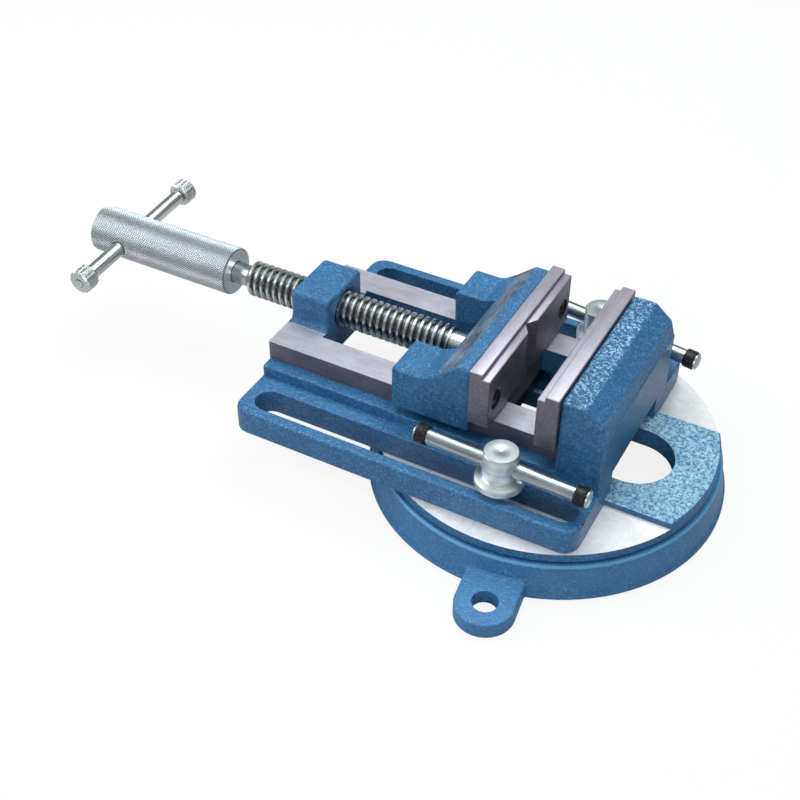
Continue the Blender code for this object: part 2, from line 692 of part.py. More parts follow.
def build_vise_body(shop):
    """The main casting: flanges, ledges, rails, nut boss and fixed jaw block."""
    flange = rounded(
        [
            (BODY_RIGHT, -FLANGE_HALF_WIDTH, FLANGE_CORNER),
            (BODY_RIGHT, FLANGE_HALF_WIDTH, FLANGE_CORNER),
            (BODY_LEFT, FLANGE_HALF_WIDTH, FLANGE_CORNER),
            (BODY_LEFT, -FLANGE_HALF_WIDTH, FLANGE_CORNER),
        ]
    )
    body = make_plate("vise_body", flange, BODY_BOTTOM, FLANGE_TOP)
    inside = BODY_BOTTOM + GAP
    # The ledges and rails end inside the fixed jaw's block
    ledge = make_box(
        "ledge_block", (BODY_LEFT, -LEDGE_HALF_WIDTH, inside), (FIXED_SLOPE_END, LEDGE_HALF_WIDTH, LEDGE_TOP)
    )
    rails = make_box(
        "rail_block", (BODY_LEFT, -RAIL_HALF_WIDTH, inside), (FIXED_SLOPE_END, RAIL_HALF_WIDTH, RAIL_TOP)
    )
    shop.join(body, ledge)
    shop.join(body, rails)
    # The rails' gap runs on under the fixed jaw, whose block then fills its end
    shop.cut(
        body,
        make_box(
            "rail_gap",
            (BOSS_RIGHT - GAP, -RAIL_GAP_HALF_WIDTH, inside + GAP),
            (FIXED_JAW_FRONT + CUT_OVERRUN, RAIL_GAP_HALF_WIDTH, RAIL_TOP + CUT_OVERRUN),
        ),
    )
    jaw_right = BODY_RIGHT - CASTING_STEP
    jaw = rounded(
        [
            (FIXED_JAW_FRONT, inside, 0),
            (FIXED_JAW_FRONT, FIXED_JAW_TOP, 0),
            (FIXED_JAW_FRONT + FIXED_JAW_FLAT, FIXED_JAW_TOP, CASTING_EDGE_ROUND * 3),
            (FIXED_SLOPE_END, FIXED_JAW_TOP - FIXED_JAW_SLOPE_DROP, CASTING_EDGE_ROUND * 2),
            (jaw_right, FIXED_JAW_TOP - FIXED_JAW_SLOPE_DROP - FIXED_JAW_BACK_ROUND, CASTING_EDGE_ROUND * 2),
            (jaw_right, inside, 0),
        ]
    )
    block = make_plate("fixed_jaw_block", jaw, -FIXED_JAW_HALF_WIDTH, FIXED_JAW_HALF_WIDTH, "XZ")
    soften(block, CASTING_EDGE_ROUND)
    shop.join(body, block)
    foot = RAIL_TOP - BOSS_FOOT_SINK
    boss = [(-BOSS_HALF_WIDTH - BOSS_FOOT_FILLET, WEB_BOTTOM), (BOSS_HALF_WIDTH + BOSS_FOOT_FILLET, WEB_BOTTOM)]
    fillet_level = foot + BOSS_FOOT_FILLET
    boss += arc((BOSS_HALF_WIDTH + BOSS_FOOT_FILLET, fillet_level), BOSS_FOOT_FILLET, 270, 180)
    crown = (BOSS_HALF_WIDTH - BOSS_EDGE_ROUND, BOSS_TOP - BOSS_EDGE_ROUND)
    boss += arc(crown, BOSS_EDGE_ROUND, 0, 90)
    boss += arc((-crown[0], crown[1]), BOSS_EDGE_ROUND, 90, 180)
    boss += arc((-BOSS_HALF_WIDTH - BOSS_FOOT_FILLET, fillet_level), BOSS_FOOT_FILLET, 360, 270)
    shop.join(body, make_plate("boss_block", boss, BODY_LEFT + CASTING_STEP, BOSS_RIGHT, "YZ"))
    bottom = BODY_BOTTOM - CUT_OVERRUN
    shop.cut(
        body,
        make_box(
            "strip_channel",
            (BODY_LEFT - CUT_OVERRUN, -STRIP_HALF_WIDTH - GAP, bottom),
            (BODY_RIGHT + CUT_OVERRUN, STRIP_HALF_WIDTH + GAP, CHANNEL_TOP),
        ),
    )
    shop.cut(
        body,
        make_box(
            "left_arch",
            (BODY_LEFT - CUT_OVERRUN, -TUNNEL_HALF_WIDTH, bottom),
            (BOSS_RIGHT, TUNNEL_HALF_WIDTH, WEB_BOTTOM),
        ),
    )
    shop.cut(
        body,
        make_box(
            "tunnel_left",
            (BOSS_RIGHT - GAP, -TUNNEL_HALF_WIDTH, bottom),
            (TUNNEL_FLOOR_START, TUNNEL_HALF_WIDTH, RAIL_LIP_BOTTOM),
        ),
    )
    shop.cut(
        body,
        make_box(
            "tunnel_middle",
            (TUNNEL_FLOOR_START - GAP, -TUNNEL_HALF_WIDTH, TUNNEL_FLOOR_TOP),
            (FIXED_JAW_FRONT + GAP, TUNNEL_HALF_WIDTH, RAIL_LIP_BOTTOM),
        ),
    )
    shop.cut(
        body,
        make_box(
            "right_arch",
            (FIXED_JAW_FRONT, -TUNNEL_HALF_WIDTH, bottom),
            (BODY_RIGHT + CUT_OVERRUN, TUNNEL_HALF_WIDTH, RAIL_LIP_BOTTOM),
        ),
    )
    for side, word in ((-1, "near"), (1, "far")):
        outline = slot_outline(BODY_SLOT_LEFT, BODY_SLOT_RIGHT, side * CLAMP_SIDE, BODY_SLOT_HALF_WIDTH)
        shop.cut(body, make_plate(f"flange_slot_{word}", outline, bottom, FLANGE_TOP + CUT_OVERRUN))
        deep = FIXED_JAW_FRONT + PLATE_SCREW_DEPTH - PLATE_THICKNESS
        shop.cut(
            body,
            make_rod(
                f"fixed_screw_hole_{word}",
                (FIXED_JAW_FRONT - CUT_OVERRUN, side * PLATE_SCREW_SIDE, PLATE_SCREW_HEIGHT),
                (deep, side * PLATE_SCREW_SIDE, PLATE_SCREW_HEIGHT),
                PLATE_SCREW_RADIUS + GAP,
                SMALL_STEPS,
            ),
        )
    shop.cut(
        body,
        make_rod(
            "nut_bore",
            (BODY_LEFT - CUT_OVERRUN, 0, SCREW_HEIGHT),
            (BOSS_RIGHT + CUT_OVERRUN, 0, SCREW_HEIGHT),
            SCREW_RADIUS + GAP,
        ),
    )
    return shop.part(body, "blue_enamel")


def moving_jaw_outline():
    """The moving jaw from its side: plate seat, slope, wings and skirts."""
    front = MOVING_JAW_FRONT
    flat_end = front - MOVING_JAW_FLAT
    slope_end = flat_end - MOVING_JAW_SLOPE_RUN
    foot_end = slope_end - MOVING_JAW_FOOT_RUN
    return rounded(
        [
            (front, SKIRT_BOTTOM, 0),
            (front, MOVING_JAW_TOP, 0),
            (flat_end, MOVING_JAW_TOP, CASTING_EDGE_ROUND * 2),
            (slope_end, MOVING_JAW_TOP - MOVING_JAW_SLOPE_DROP, 0),
            (foot_end, WING_TOP, CASTING_EDGE_ROUND * 3),
            (WING_LEFT, WING_TOP, WING_CORNER),
            (WING_LEFT, SKIRT_BOTTOM, SKIRT_CORNER),
        ]
    )


def build_moving_jaw(shop):
    """The sliding casting: a saddle on the rails with a tongue between them and two wings."""
    half = MOVING_JAW_HALF_WIDTH
    jaw = make_plate("moving_jaw", moving_jaw_outline(), -half, half, "XZ")
    soften(jaw, CASTING_EDGE_ROUND)
    front_out = MOVING_JAW_FRONT + CUT_OVERRUN
    left_out = WING_LEFT - CUT_OVERRUN
    shop.cut(
        jaw,
        make_box(
            "rail_channel",
            (left_out, -SKIRT_INNER, SKIRT_BOTTOM - CUT_OVERRUN),
            (front_out, SKIRT_INNER, SADDLE_BOTTOM),
        ),
    )
    shop.cut(
        jaw,
        make_box(
            "wing_gap",
            (left_out, -WING_INNER, SKIRT_BOTTOM),
            (JAW_BACK, WING_INNER, MOVING_JAW_TOP + CUT_OVERRUN),
        ),
    )
    tongue = make_box(
        "tongue_block",
        (TONGUE_LEFT, -TONGUE_HALF_WIDTH, TONGUE_BOTTOM),
        (TONGUE_RIGHT, TONGUE_HALF_WIDTH, PLATE_BOTTOM - GAP),
    )
    shop.join(jaw, tongue)
    shop.cut(
        jaw,
        make_rod(
            "screw_end_bore",
            (JAW_BACK - CUT_OVERRUN, 0, SCREW_HEIGHT),
            (SCREW_RIGHT + GAP, 0, SCREW_HEIGHT),
            SCREW_END_RADIUS + GAP,
        ),
    )
    for side, word in ((-1, "near"), (1, "far")):
        shop.cut(
            jaw,
            make_rod(
                f"moving_screw_hole_{word}",
                (front_out, side * PLATE_SCREW_SIDE, PLATE_SCREW_HEIGHT),
                (MOVING_JAW_FRONT - PLATE_SCREW_DEPTH + PLATE_THICKNESS, side * PLATE_SCREW_SIDE, PLATE_SCREW_HEIGHT),
                PLATE_SCREW_RADIUS + GAP,
                SMALL_STEPS,
            ),
        )
        pin = pin_side(side)
        shop.cut(
            jaw,
            make_rod(
                f"pin_hole_{word}",
                (SCREW_GROOVE_PLACE, pin, TONGUE_BOTTOM - CUT_OVERRUN),
                (SCREW_GROOVE_PLACE, pin, SCREW_HEIGHT + SCREW_END_RADIUS),
                RETAINING_PIN_RADIUS + GAP,
                SMALL_STEPS,
            ),
        )
    for place, word in keeper_screw_places():
        shop.cut(
            jaw,
            make_rod(
                f"keeper_hole_{word}",
                (place[0], place[1], TONGUE_BOTTOM - CUT_OVERRUN),
                (place[0], place[1], TONGUE_BOTTOM + KEEPER_SCREW_DEPTH),
                KEEPER_SCREW_RADIUS + GAP,
                SMALL_STEPS,
            ),
        )
    return shop.part(jaw, "blue_enamel")


def pin_side(side):
    """Where a retaining pin stands beside the screw's groove."""
    return side * (SCREW_GROOVE_RADIUS + RETAINING_PIN_RADIUS + GAP)


def keeper_screw_places():
    """The four screws that hold the keeper plate under the tongue."""
    left = TONGUE_LEFT + KEEPER_SCREW_INSET
    right = TONGUE_RIGHT - KEEPER_SCREW_INSET
    return [
        ((left, -KEEPER_SCREW_SIDE), "back_near"),
        ((left, KEEPER_SCREW_SIDE), "back_far"),
        ((right, -KEEPER_SCREW_SIDE), "front_near"),
        ((right, KEEPER_SCREW_SIDE), "front_far"),
    ]


def build_jaw_plate(shop, name, face, back, grooved):
    """A ground jaw plate with a step along its upper front edge and two countersunk holes."""
    step_back = face + math.copysign(PLATE_STEP_WIDTH, back - face)
    outline = [
        (back, PLATE_BOTTOM),
        (face, PLATE_BOTTOM),
        (face, PLATE_TOP - PLATE_STEP_DEPTH),
        (step_back, PLATE_TOP - PLATE_STEP_DEPTH),
        (step_back, PLATE_TOP),
        (back, PLATE_TOP),
    ]
    plate = make_plate(name, outline, -JAW_WIDTH / 2, JAW_WIDTH / 2, "XZ")
    soften(plate, PLATE_EDGE_BREAK, 1)
    outward = math.copysign(1, face - back)
    front_out = face + outward * CUT_OVERRUN
    if grooved:
        spread = PLATE_VEE_HALF_WIDTH * (1 + CUT_OVERRUN / PLATE_VEE_DEPTH)
        vee = [(front_out, -spread), (face - outward * PLATE_VEE_DEPTH, 0), (front_out, spread)]
        low = PLATE_BOTTOM - CUT_OVERRUN
        shop.cut(plate, make_plate(f"{name}_vee", vee, low, PLATE_TOP + CUT_OVERRUN))
    for side, word in ((-1, "near"), (1, "far")):
        across = side * PLATE_SCREW_SIDE
        mouth = PLATE_SCREW_HEAD_RADIUS + GAP + PLATE_SCREW_SINK
        bore = PLATE_SCREW_RADIUS + GAP
        profile = [
            (0, CUT_OVERRUN),
            (mouth + CUT_OVERRUN, CUT_OVERRUN),
            (bore, bore - mouth),
            (bore, -PLATE_THICKNESS - CUT_OVERRUN),
            (0, -PLATE_THICKNESS - CUT_OVERRUN),
        ]
        place = (face, across, PLATE_SCREW_HEIGHT)
        shop.cut(plate, make_turned(f"{name}_hole_{word}", profile, SMALL_STEPS, place, "X" if outward > 0 else "-X"))
    return shop.part(plate, "ground_steel")


def build_plate_screw(shop, name, face, outward, side):
    """A countersunk screw with a hexagon socket."""
    cone_depth = PLATE_SCREW_HEAD_RADIUS - PLATE_SCREW_RADIUS
    sink = PLATE_SCREW_SINK
    across = side * PLATE_SCREW_SIDE
    head_face = face - outward * sink
    head_end = head_face - outward * cone_depth
    tip = head_face - outward * (PLATE_SCREW_DEPTH - sink - GAP)
    screw = make_rod(
        name,
        (head_end, across, PLATE_SCREW_HEIGHT),
        (head_face, across, PLATE_SCREW_HEIGHT),
        PLATE_SCREW_RADIUS,
        SMALL_STEPS,
        PLATE_SCREW_HEAD_RADIUS,
    )
    shank = make_rod(
        f"{name}_shank",
        (tip, across, PLATE_SCREW_HEIGHT),
        (head_end + outward * cone_depth / 2, across, PLATE_SCREW_HEIGHT),
        PLATE_SCREW_RADIUS,
        SMALL_STEPS,
    )
    shop.join(screw, shank)
    socket = make_rod(
        f"{name}_socket",
        (head_face - outward * HEX_SOCKET_DEPTH, across, PLATE_SCREW_HEIGHT),
        (head_face + outward * CUT_OVERRUN, across, PLATE_SCREW_HEIGHT),
        HEX_SOCKET_RADIUS,
        HEX_SIDES,
    )
    shop.cut(screw, socket)
    return shop.part(screw, "dark_steel")


def build_keeper(shop):
    """The keeper plate that holds the tongue down under the rails."""
    keeper = make_box(
        "keeper_plate",
        (TONGUE_LEFT, -KEEPER_HALF_WIDTH, KEEPER_BOTTOM),
        (TONGUE_RIGHT, KEEPER_HALF_WIDTH, KEEPER_TOP),
    )
    for place, word in keeper_screw_places():
        high = KEEPER_TOP + CUT_OVERRUN
        low = KEEPER_BOTTOM - CUT_OVERRUN
        head_level = KEEPER_BOTTOM + KEEPER_SCREW_HEAD_HEIGHT + GAP
        shop.cut(
            keeper,
            make_rod(f"keeper_bore_{word}", (*place, low), (*place, high), KEEPER_SCREW_RADIUS + GAP, SMALL_STEPS),
        )
        shop.cut(
            keeper,
            make_rod(
                f"keeper_sink_{word}",
                (*place, low),
                (*place, head_level),
                KEEPER_SCREW_HEAD_RADIUS + GAP,
                SMALL_STEPS,
            ),
        )
    shop.part(keeper, "dark_steel")
    for place, word in keeper_screw_places():
        profile = [
            (0, TONGUE_BOTTOM + KEEPER_SCREW_DEPTH - GAP),
            (KEEPER_SCREW_RADIUS, TONGUE_BOTTOM + KEEPER_SCREW_DEPTH - GAP),
            (KEEPER_SCREW_RADIUS, KEEPER_BOTTOM + KEEPER_SCREW_HEAD_HEIGHT),
            (KEEPER_SCREW_HEAD_RADIUS, KEEPER_BOTTOM + KEEPER_SCREW_HEAD_HEIGHT),
            (KEEPER_SCREW_HEAD_RADIUS, KEEPER_BOTTOM),
            (0, KEEPER_BOTTOM),
        ]
        screw = make_turned(f"keeper_screw_{word}", profile, SMALL_STEPS, (*place, 0))
        socket = make_rod(
            f"keeper_socket_{word}",
            (*place, KEEPER_BOTTOM - CUT_OVERRUN),
            (*place, KEEPER_BOTTOM + KEEPER_SOCKET_DEPTH),
            KEEPER_SOCKET_RADIUS,
            HEX_SIDES,
        )
        shop.cut(screw, socket)
        shop.part(screw, "dark_steel")


def build_lead_screw(shop):
    """The trapezoidal screw's body, with its grooved end, its neck and the sleeve's spigot."""
    spigot_end = SLEEVE_RIGHT - SPIGOT_LENGTH
    groove = SCREW_GROOVE_WIDTH / 2
    profile = [
        (0, SCREW_RIGHT),
        (SCREW_END_RADIUS - SCREW_CHAMFER, SCREW_RIGHT),
        (SCREW_END_RADIUS, SCREW_RIGHT - SCREW_CHAMFER),
        (SCREW_END_RADIUS, SCREW_GROOVE_PLACE + groove),
        (SCREW_GROOVE_RADIUS, SCREW_GROOVE_PLACE + groove),
        (SCREW_GROOVE_RADIUS, SCREW_GROOVE_PLACE - groove),
        (SCREW_END_RADIUS, SCREW_GROOVE_PLACE - groove),
        (SCREW_END_RADIUS, SCREW_THREAD_RIGHT + SCREW_CHAMFER),
        (SCREW_RADIUS, SCREW_THREAD_RIGHT),
        (SCREW_RADIUS, SCREW_THREAD_LEFT + SCREW_CHAMFER),
        (SCREW_RADIUS - SCREW_CHAMFER, SCREW_THREAD_LEFT),
        (NECK_RADIUS, SCREW_THREAD_LEFT),
        (NECK_RADIUS, spigot_end),
        (0, spigot_end),
    ]
    screw = make_turned("lead_screw", profile, ROUND_STEPS, (0, 0, SCREW_HEIGHT), "X")
    return shop.part(screw, "bright_zinc")


def build_retaining_pin(shop, word, side):
    """A dowel pin that stands in the moving jaw, beside the screw's groove."""
    pin = make_rod(
        f"retaining_pin_{word}",
        (SCREW_GROOVE_PLACE, pin_side(side), TONGUE_BOTTOM + GAP),
        (SCREW_GROOVE_PLACE, pin_side(side), SCREW_HEIGHT + SCREW_END_RADIUS - GAP),
        RETAINING_PIN_RADIUS,
        SMALL_STEPS,
    )
    return shop.part(pin, "dark_steel")


def tommy_direction():
    """Direction of the tommy bar, from its near end to its far end."""
    return Vector((0, math.cos(TOMMY_TILT), math.sin(TOMMY_TILT)))


def build_handle_sleeve(shop):
    """The knurled sleeve on the screw's neck."""
    profile = [
        (0, SLEEVE_RIGHT),
        (SLEEVE_RADIUS - SLEEVE_EDGE_BREAK, SLEEVE_RIGHT),
        (SLEEVE_RADIUS, SLEEVE_RIGHT - SLEEVE_EDGE_BREAK),
        (SLEEVE_RADIUS, SLEEVE_LEFT + SLEEVE_EDGE_BREAK),
        (SLEEVE_RADIUS - SLEEVE_EDGE_BREAK, SLEEVE_LEFT),
        (0, SLEEVE_LEFT),
    ]
    sleeve = make_turned("handle_sleeve", profile, ROUND_STEPS, (0, 0, SCREW_HEIGHT), "X")
    shop.cut(
        sleeve,
        make_rod(
            "spigot_bore",
            (SLEEVE_RIGHT - SPIGOT_LENGTH - GAP, 0, SCREW_HEIGHT),
            (SLEEVE_RIGHT + CUT_OVERRUN, 0, SCREW_HEIGHT),
            NECK_RADIUS + GAP,
            SMALL_STEPS,
        ),
    )
    middle = Vector((TOMMY_PLACE, 0, SCREW_HEIGHT))
    heading = tommy_direction()
    reach = SLEEVE_RADIUS + CUT_OVERRUN
    shop.cut(
        sleeve,
        make_rod(
            "tommy_bore", middle - heading * reach, middle + heading * reach, TOMMY_RADIUS + GAP, SMALL_STEPS
        ),
    )
    return shop.part(sleeve, "bright_zinc")


def build_tommy_bar(shop):
    """The bar that slides through the sleeve, riveted into a knob at each end."""
    middle = Vector((TOMMY_PLACE, 0, SCREW_HEIGHT))
    heading = tommy_direction()
    near_end = TOMMY_NEAR_REACH
    far_end = TOMMY_FAR_REACH
    bar = make_rod(
        "tommy_bar",
        middle - heading * (near_end - KNOB_LENGTH - GAP),
        middle + heading * (far_end - KNOB_LENGTH - GAP),
        TOMMY_RADIUS,
        SMALL_STEPS,
    )
    peg = make_rod(
        "tommy_pegs",
        middle - heading * (near_end + TOMMY_RIVET_HEIGHT),
        middle + heading * (far_end + TOMMY_RIVET_HEIGHT),
        TOMMY_RIVET_RADIUS,
        SMALL_STEPS,
    )
    shop.join(bar, peg)
    shop.part(bar, "bright_zinc")
    turn = heading.to_track_quat("Z", "Y").to_matrix().to_4x4()
    for side, reach, word in ((-1, near_end, "near"), (1, far_end, "far")):
        bore = TOMMY_RIVET_RADIUS + GAP
        profile = [
            (bore, KNOB_LENGTH / 2),
            (KNOB_RADIUS - KNOB_EDGE_BREAK, KNOB_LENGTH / 2),
            (KNOB_RADIUS, KNOB_LENGTH / 2 - KNOB_EDGE_BREAK),
            (KNOB_RADIUS, -KNOB_LENGTH / 2 + KNOB_EDGE_BREAK),
            (KNOB_RADIUS - KNOB_EDGE_BREAK, -KNOB_LENGTH / 2),
            (bore, -KNOB_LENGTH / 2),
            (bore, KNOB_LENGTH / 2),
        ]
        knob = make_turned(f"tommy_knob_{word}", profile, SMALL_STEPS)
        centre = middle + heading * side * (reach - KNOB_LENGTH / 2)
        knob = bake(knob, Matrix.Translation(centre) @ turn)
        shop.part(knob, "bright_zinc")


def clamp_heading(turn):
    """Direction of a clamp bar, from its left end to its right end."""
    return Vector((math.cos(turn), math.sin(turn), 0))


def build_clamp_bolt(shop, word, side, turn):
    """A clamp bolt: a cross-bored head, a collar on a smaller foot, and a shank."""
    shank_bottom = NUT_BOTTOM + GAP
    profile = [
        (0, CLAMP_HEAD_TOP),
        (CLAMP_HEAD_RADIUS - CLAMP_EDGE_BREAK, CLAMP_HEAD_TOP),
        (CLAMP_HEAD_RADIUS, CLAMP_HEAD_TOP - CLAMP_EDGE_BREAK),
        (CLAMP_HEAD_RADIUS, CLAMP_HEAD_BOTTOM),
        (CLAMP_NECK_RADIUS, CLAMP_HEAD_BOTTOM),
        (CLAMP_NECK_RADIUS, CLAMP_COLLAR_TOP),
        (CLAMP_COLLAR_RADIUS - CLAMP_EDGE_BREAK, CLAMP_COLLAR_TOP),
        (CLAMP_COLLAR_RADIUS, CLAMP_COLLAR_TOP - CLAMP_EDGE_BREAK),
        (CLAMP_COLLAR_RADIUS, CLAMP_COLLAR_BOTTOM),
        (CLAMP_FOOT_RADIUS, CLAMP_COLLAR_BOTTOM),
        (CLAMP_FOOT_RADIUS, CLAMP_FOOT_BOTTOM),
        (CLAMP_SHANK_RADIUS, CLAMP_FOOT_BOTTOM),
        (CLAMP_SHANK_RADIUS, shank_bottom),
        (0, shank_bottom),
    ]
    across = side * CLAMP_SIDE
    bolt = make_turned(f"clamp_bolt_{word}", profile, ROUND_STEPS, (0, across, 0))
    heading = clamp_heading(turn)
    middle = Vector((0, across, CLAMP_BAR_HEIGHT))
    reach = CLAMP_COLLAR_RADIUS
    bore = make_rod(
        f"clamp_bar_bore_{word}",
        middle - heading * reach,
        middle + heading * reach,
        CLAMP_BAR_RADIUS + GAP,
        SMALL_STEPS,
    )
    shop.cut(bolt, bore)
    return shop.part(bolt, "bright_zinc")


def build_clamp_bar(shop, word, side, turn, shift):
    """The bar that slides through a clamp bolt's head, with a knurled cap at each end."""
    heading = clamp_heading(turn)
    centre = Vector((0, side * CLAMP_SIDE, CLAMP_BAR_HEIGHT)) + heading * shift
    rod_end = CLAMP_BAR_HALF_LENGTH - CLAMP_END_LENGTH / 2
    bar = make_rod(
        f"clamp_bar_{word}",
        centre - heading * rod_end,
        centre + heading * rod_end,
        CLAMP_BAR_RADIUS,
        SMALL_STEPS,
    )
    for way, place in ((-1, "left"), (1, "right")):
        inner = centre + heading * way * (CLAMP_BAR_HALF_LENGTH - CLAMP_END_LENGTH)
        outer = centre + heading * way * CLAMP_BAR_HALF_LENGTH
        end = make_rod(f"clamp_end_{word}_{place}", inner, outer, CLAMP_END_RADIUS, SMALL_STEPS)
        shop.join(bar, end)
    shop.part(bar, "bright_zinc")
    upright = heading.to_track_quat("Z", "Y").to_matrix().to_4x4()
    for way, place in ((-1, "left"), (1, "right")):
        bore_radius = CLAMP_BAR_RADIUS + GAP
        top = CLAMP_CAP_LENGTH / 2
        profile = [
            (bore_radius, top),
            (CLAMP_CAP_RADIUS - CLAMP_CAP_EDGE_BREAK, top),
            (CLAMP_CAP_RADIUS, top - CLAMP_CAP_EDGE_BREAK),
            (CLAMP_CAP_RADIUS, -top + CLAMP_CAP_EDGE_BREAK),
            (CLAMP_CAP_RADIUS - CLAMP_CAP_EDGE_BREAK, -top),
            (bore_radius, -top),
            (bore_radius, top),
        ]
        cap = make_turned(f"clamp_cap_{word}_{place}", profile, SMALL_STEPS)
        seat = CLAMP_BAR_HALF_LENGTH - CLAMP_END_LENGTH - GAP - top
        cap = bake(cap, Matrix.Translation(centre + heading * way * seat) @ upright)
        shop.part(cap, "black_oxide")


def build_clamp_nut(shop, word, side):
    """The nut that hooks under the ring's lip, with its heel against the turntable."""
    heel_top = TABLE_BOTTOM - GAP
    outline = [
        (side * NUT_INNER, NUT_BOTTOM),
        (side * NUT_OUTER, NUT_BOTTOM),
        (side * NUT_OUTER, NUT_TOP),
        (side * (NUT_INNER + NUT_HEEL_LENGTH), NUT_TOP),
        (side * (NUT_INNER + NUT_HEEL_LENGTH), heel_top),
        (side * NUT_INNER, heel_top),
    ]
    nut = make_plate(f"clamp_nut_{word}", outline, -NUT_HALF_WIDTH, NUT_HALF_WIDTH, "YZ")
    soften(nut, NUT_EDGE_BREAK, 1)
    hole = make_rod(
        f"nut_hole_{word}",
        (0, side * CLAMP_SIDE, NUT_BOTTOM - CUT_OVERRUN),
        (0, side * CLAMP_SIDE, heel_top + CUT_OVERRUN),
        CLAMP_SHANK_RADIUS + GAP,
        SMALL_STEPS,
    )
    shop.cut(nut, hole)
    return shop.part(nut, "dark_steel")


def main():
    """Build every piece of the vise, each body on its own axis."""
    shop = Workshop()
    table = shop.stand_on("table_axis", (0, 0, 0))
    build_base_ring(shop)
    swivel = shop.stand_on("swivel_axis", (0, 0, TABLE_BOTTOM), table)
    build_turntable(shop)
    for side, word in ((-1, "near"), (1, "far")):
        build_clamp_nut(shop, word, side)
    body = shop.stand_on("body_slide_axis", (0, 0, BODY_BOTTOM), swivel)
    build_vise_body(shop)
    build_jaw_plate(shop, "fixed_jaw_plate", FIXED_FACE, FIXED_PLATE_BACK, False)
    for side, word in ((-1, "near"), (1, "far")):
        build_plate_screw(shop, f"fixed_plate_screw_{word}", FIXED_FACE, -1, side)
    jaw = shop.stand_on("jaw_slide_axis", (MOVING_FACE, 0, RAIL_TOP), body)
    build_moving_jaw(shop)
    build_jaw_plate(shop, "moving_jaw_plate", MOVING_FACE, MOVING_PLATE_BACK, True)
    for side, word in ((-1, "near"), (1, "far")):
        build_plate_screw(shop, f"moving_plate_screw_{word}", MOVING_FACE, 1, side)
        build_retaining_pin(shop, word, side)
    build_keeper(shop)
    screw = shop.stand_on("screw_axis", (SCREW_RIGHT, 0, SCREW_HEIGHT), jaw)
    build_lead_screw(shop)
    build_handle_sleeve(shop)
    shop.stand_on("tommy_axis", (TOMMY_PLACE, 0, SCREW_HEIGHT), screw)
    build_tommy_bar(shop)
    clamps = (("near", -1, NEAR_CLAMP_TURN, NEAR_CLAMP_SHIFT), ("far", 1, FAR_CLAMP_TURN, FAR_CLAMP_SHIFT))
    for word, side, turn, shift in clamps:
        bolt = shop.stand_on(f"clamp_axis_{word}", (0, side * CLAMP_SIDE, CLAMP_FOOT_BOTTOM), swivel)
        build_clamp_bolt(shop, word, side, turn)
        shop.stand_on(f"clamp_bar_axis_{word}", (0, side * CLAMP_SIDE, CLAMP_BAR_HEIGHT), bolt)
        build_clamp_bar(shop, word, side, turn, shift)


main()
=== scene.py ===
"""Drill press vise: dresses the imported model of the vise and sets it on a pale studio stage.

Every length is in metres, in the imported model's own frame: +X runs along the screw towards the
fixed jaw, +Z is up, and the swivel axis stands at SWIVEL_X.
"""

import math

import bmesh
import bpy
from mathutils import Matrix, Vector


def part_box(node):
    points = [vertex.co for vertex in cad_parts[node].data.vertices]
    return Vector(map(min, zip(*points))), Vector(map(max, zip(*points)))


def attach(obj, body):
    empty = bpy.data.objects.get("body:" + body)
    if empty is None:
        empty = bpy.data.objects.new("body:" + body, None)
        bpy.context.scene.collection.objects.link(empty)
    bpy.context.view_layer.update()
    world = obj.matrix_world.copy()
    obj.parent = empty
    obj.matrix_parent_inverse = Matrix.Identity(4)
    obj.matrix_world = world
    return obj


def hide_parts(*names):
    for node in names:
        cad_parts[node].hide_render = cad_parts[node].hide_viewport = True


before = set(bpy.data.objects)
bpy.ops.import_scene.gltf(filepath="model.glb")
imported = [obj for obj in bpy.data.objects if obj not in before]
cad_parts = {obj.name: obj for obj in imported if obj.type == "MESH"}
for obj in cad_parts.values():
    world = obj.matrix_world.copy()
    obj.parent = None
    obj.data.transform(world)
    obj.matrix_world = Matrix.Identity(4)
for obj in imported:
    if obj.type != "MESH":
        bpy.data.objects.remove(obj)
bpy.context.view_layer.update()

bl_info = {
    "name": "Drill Press Vise",
    "version": (1, 0, 0),
    "blender": (4, 5, 0),
    "location": "View3D > Sidebar > Vise",
    "description": "Dresses a drill press vise with cast, ground, threaded and knurled pieces",
    "category": "Object",
}

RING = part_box("base_ring")
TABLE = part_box("turntable")
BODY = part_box("vise_body")
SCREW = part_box("lead_screw")
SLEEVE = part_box("handle_sleeve")
SWIVEL_X = (TABLE[0].x + TABLE[1].x) / 2
SCREW_Z = (SLEEVE[0].z + SLEEVE[1].z) / 2
BOLT_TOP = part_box("clamp_bolt_near")[1].z

# Places along X from the swivel axis, widths from the screw's plane and heights from the floor
THREAD_START = -0.1788
THREAD_END = -0.0575
RING_SHOULDER = 0.0903
STRIP_HALF = 0.0375
TABLE_TOP = 0.0248
SLOT_CENTRE = 0.0464
SLOT_HALF = 0.0206
RAIL_OUTSIDE = 0.0402
RAIL_TOP = 0.0558
CLAMP_OFFSET = 0.0640
CLAMP_BAR_HEIGHT = 0.0530

# Limits just past a face, by which the castings' faces and edges are told apart
RAIL_INSIDE = 0.0236
LEDGE_TOP = 0.0449
FLANGE_TOP = 0.0395
FIXED_JAW_FRONT = 0.0213
JAW_TOP = 0.0800
SLOPE_FOOT = 0.0778
SADDLE_TOP = 0.0563
SADDLE_HALF = 0.0407

# Sizes that several pieces share
GAP = 0.0003
CASTING_STEP = 0.0004
SHORT_EDGE = 0.0006
END_EDGE = 0.0040
COUNTERSINK_RADIUS = 0.0062
NECK_RADIUS = 0.0060
CLAMP_BAR_RADIUS = 0.0040
CLAMP_BAR_HALF = 0.0465
CLAMP_END_LENGTH = 0.0014
CAP_HALF = 0.0029
KNOB_RADIUS = 0.0070
KNOB_LENGTH = 0.0090
BORE_REACH = 0.0100

# The tommy bar's angle from the level, in degrees
TOMMY_TILT = 3.4
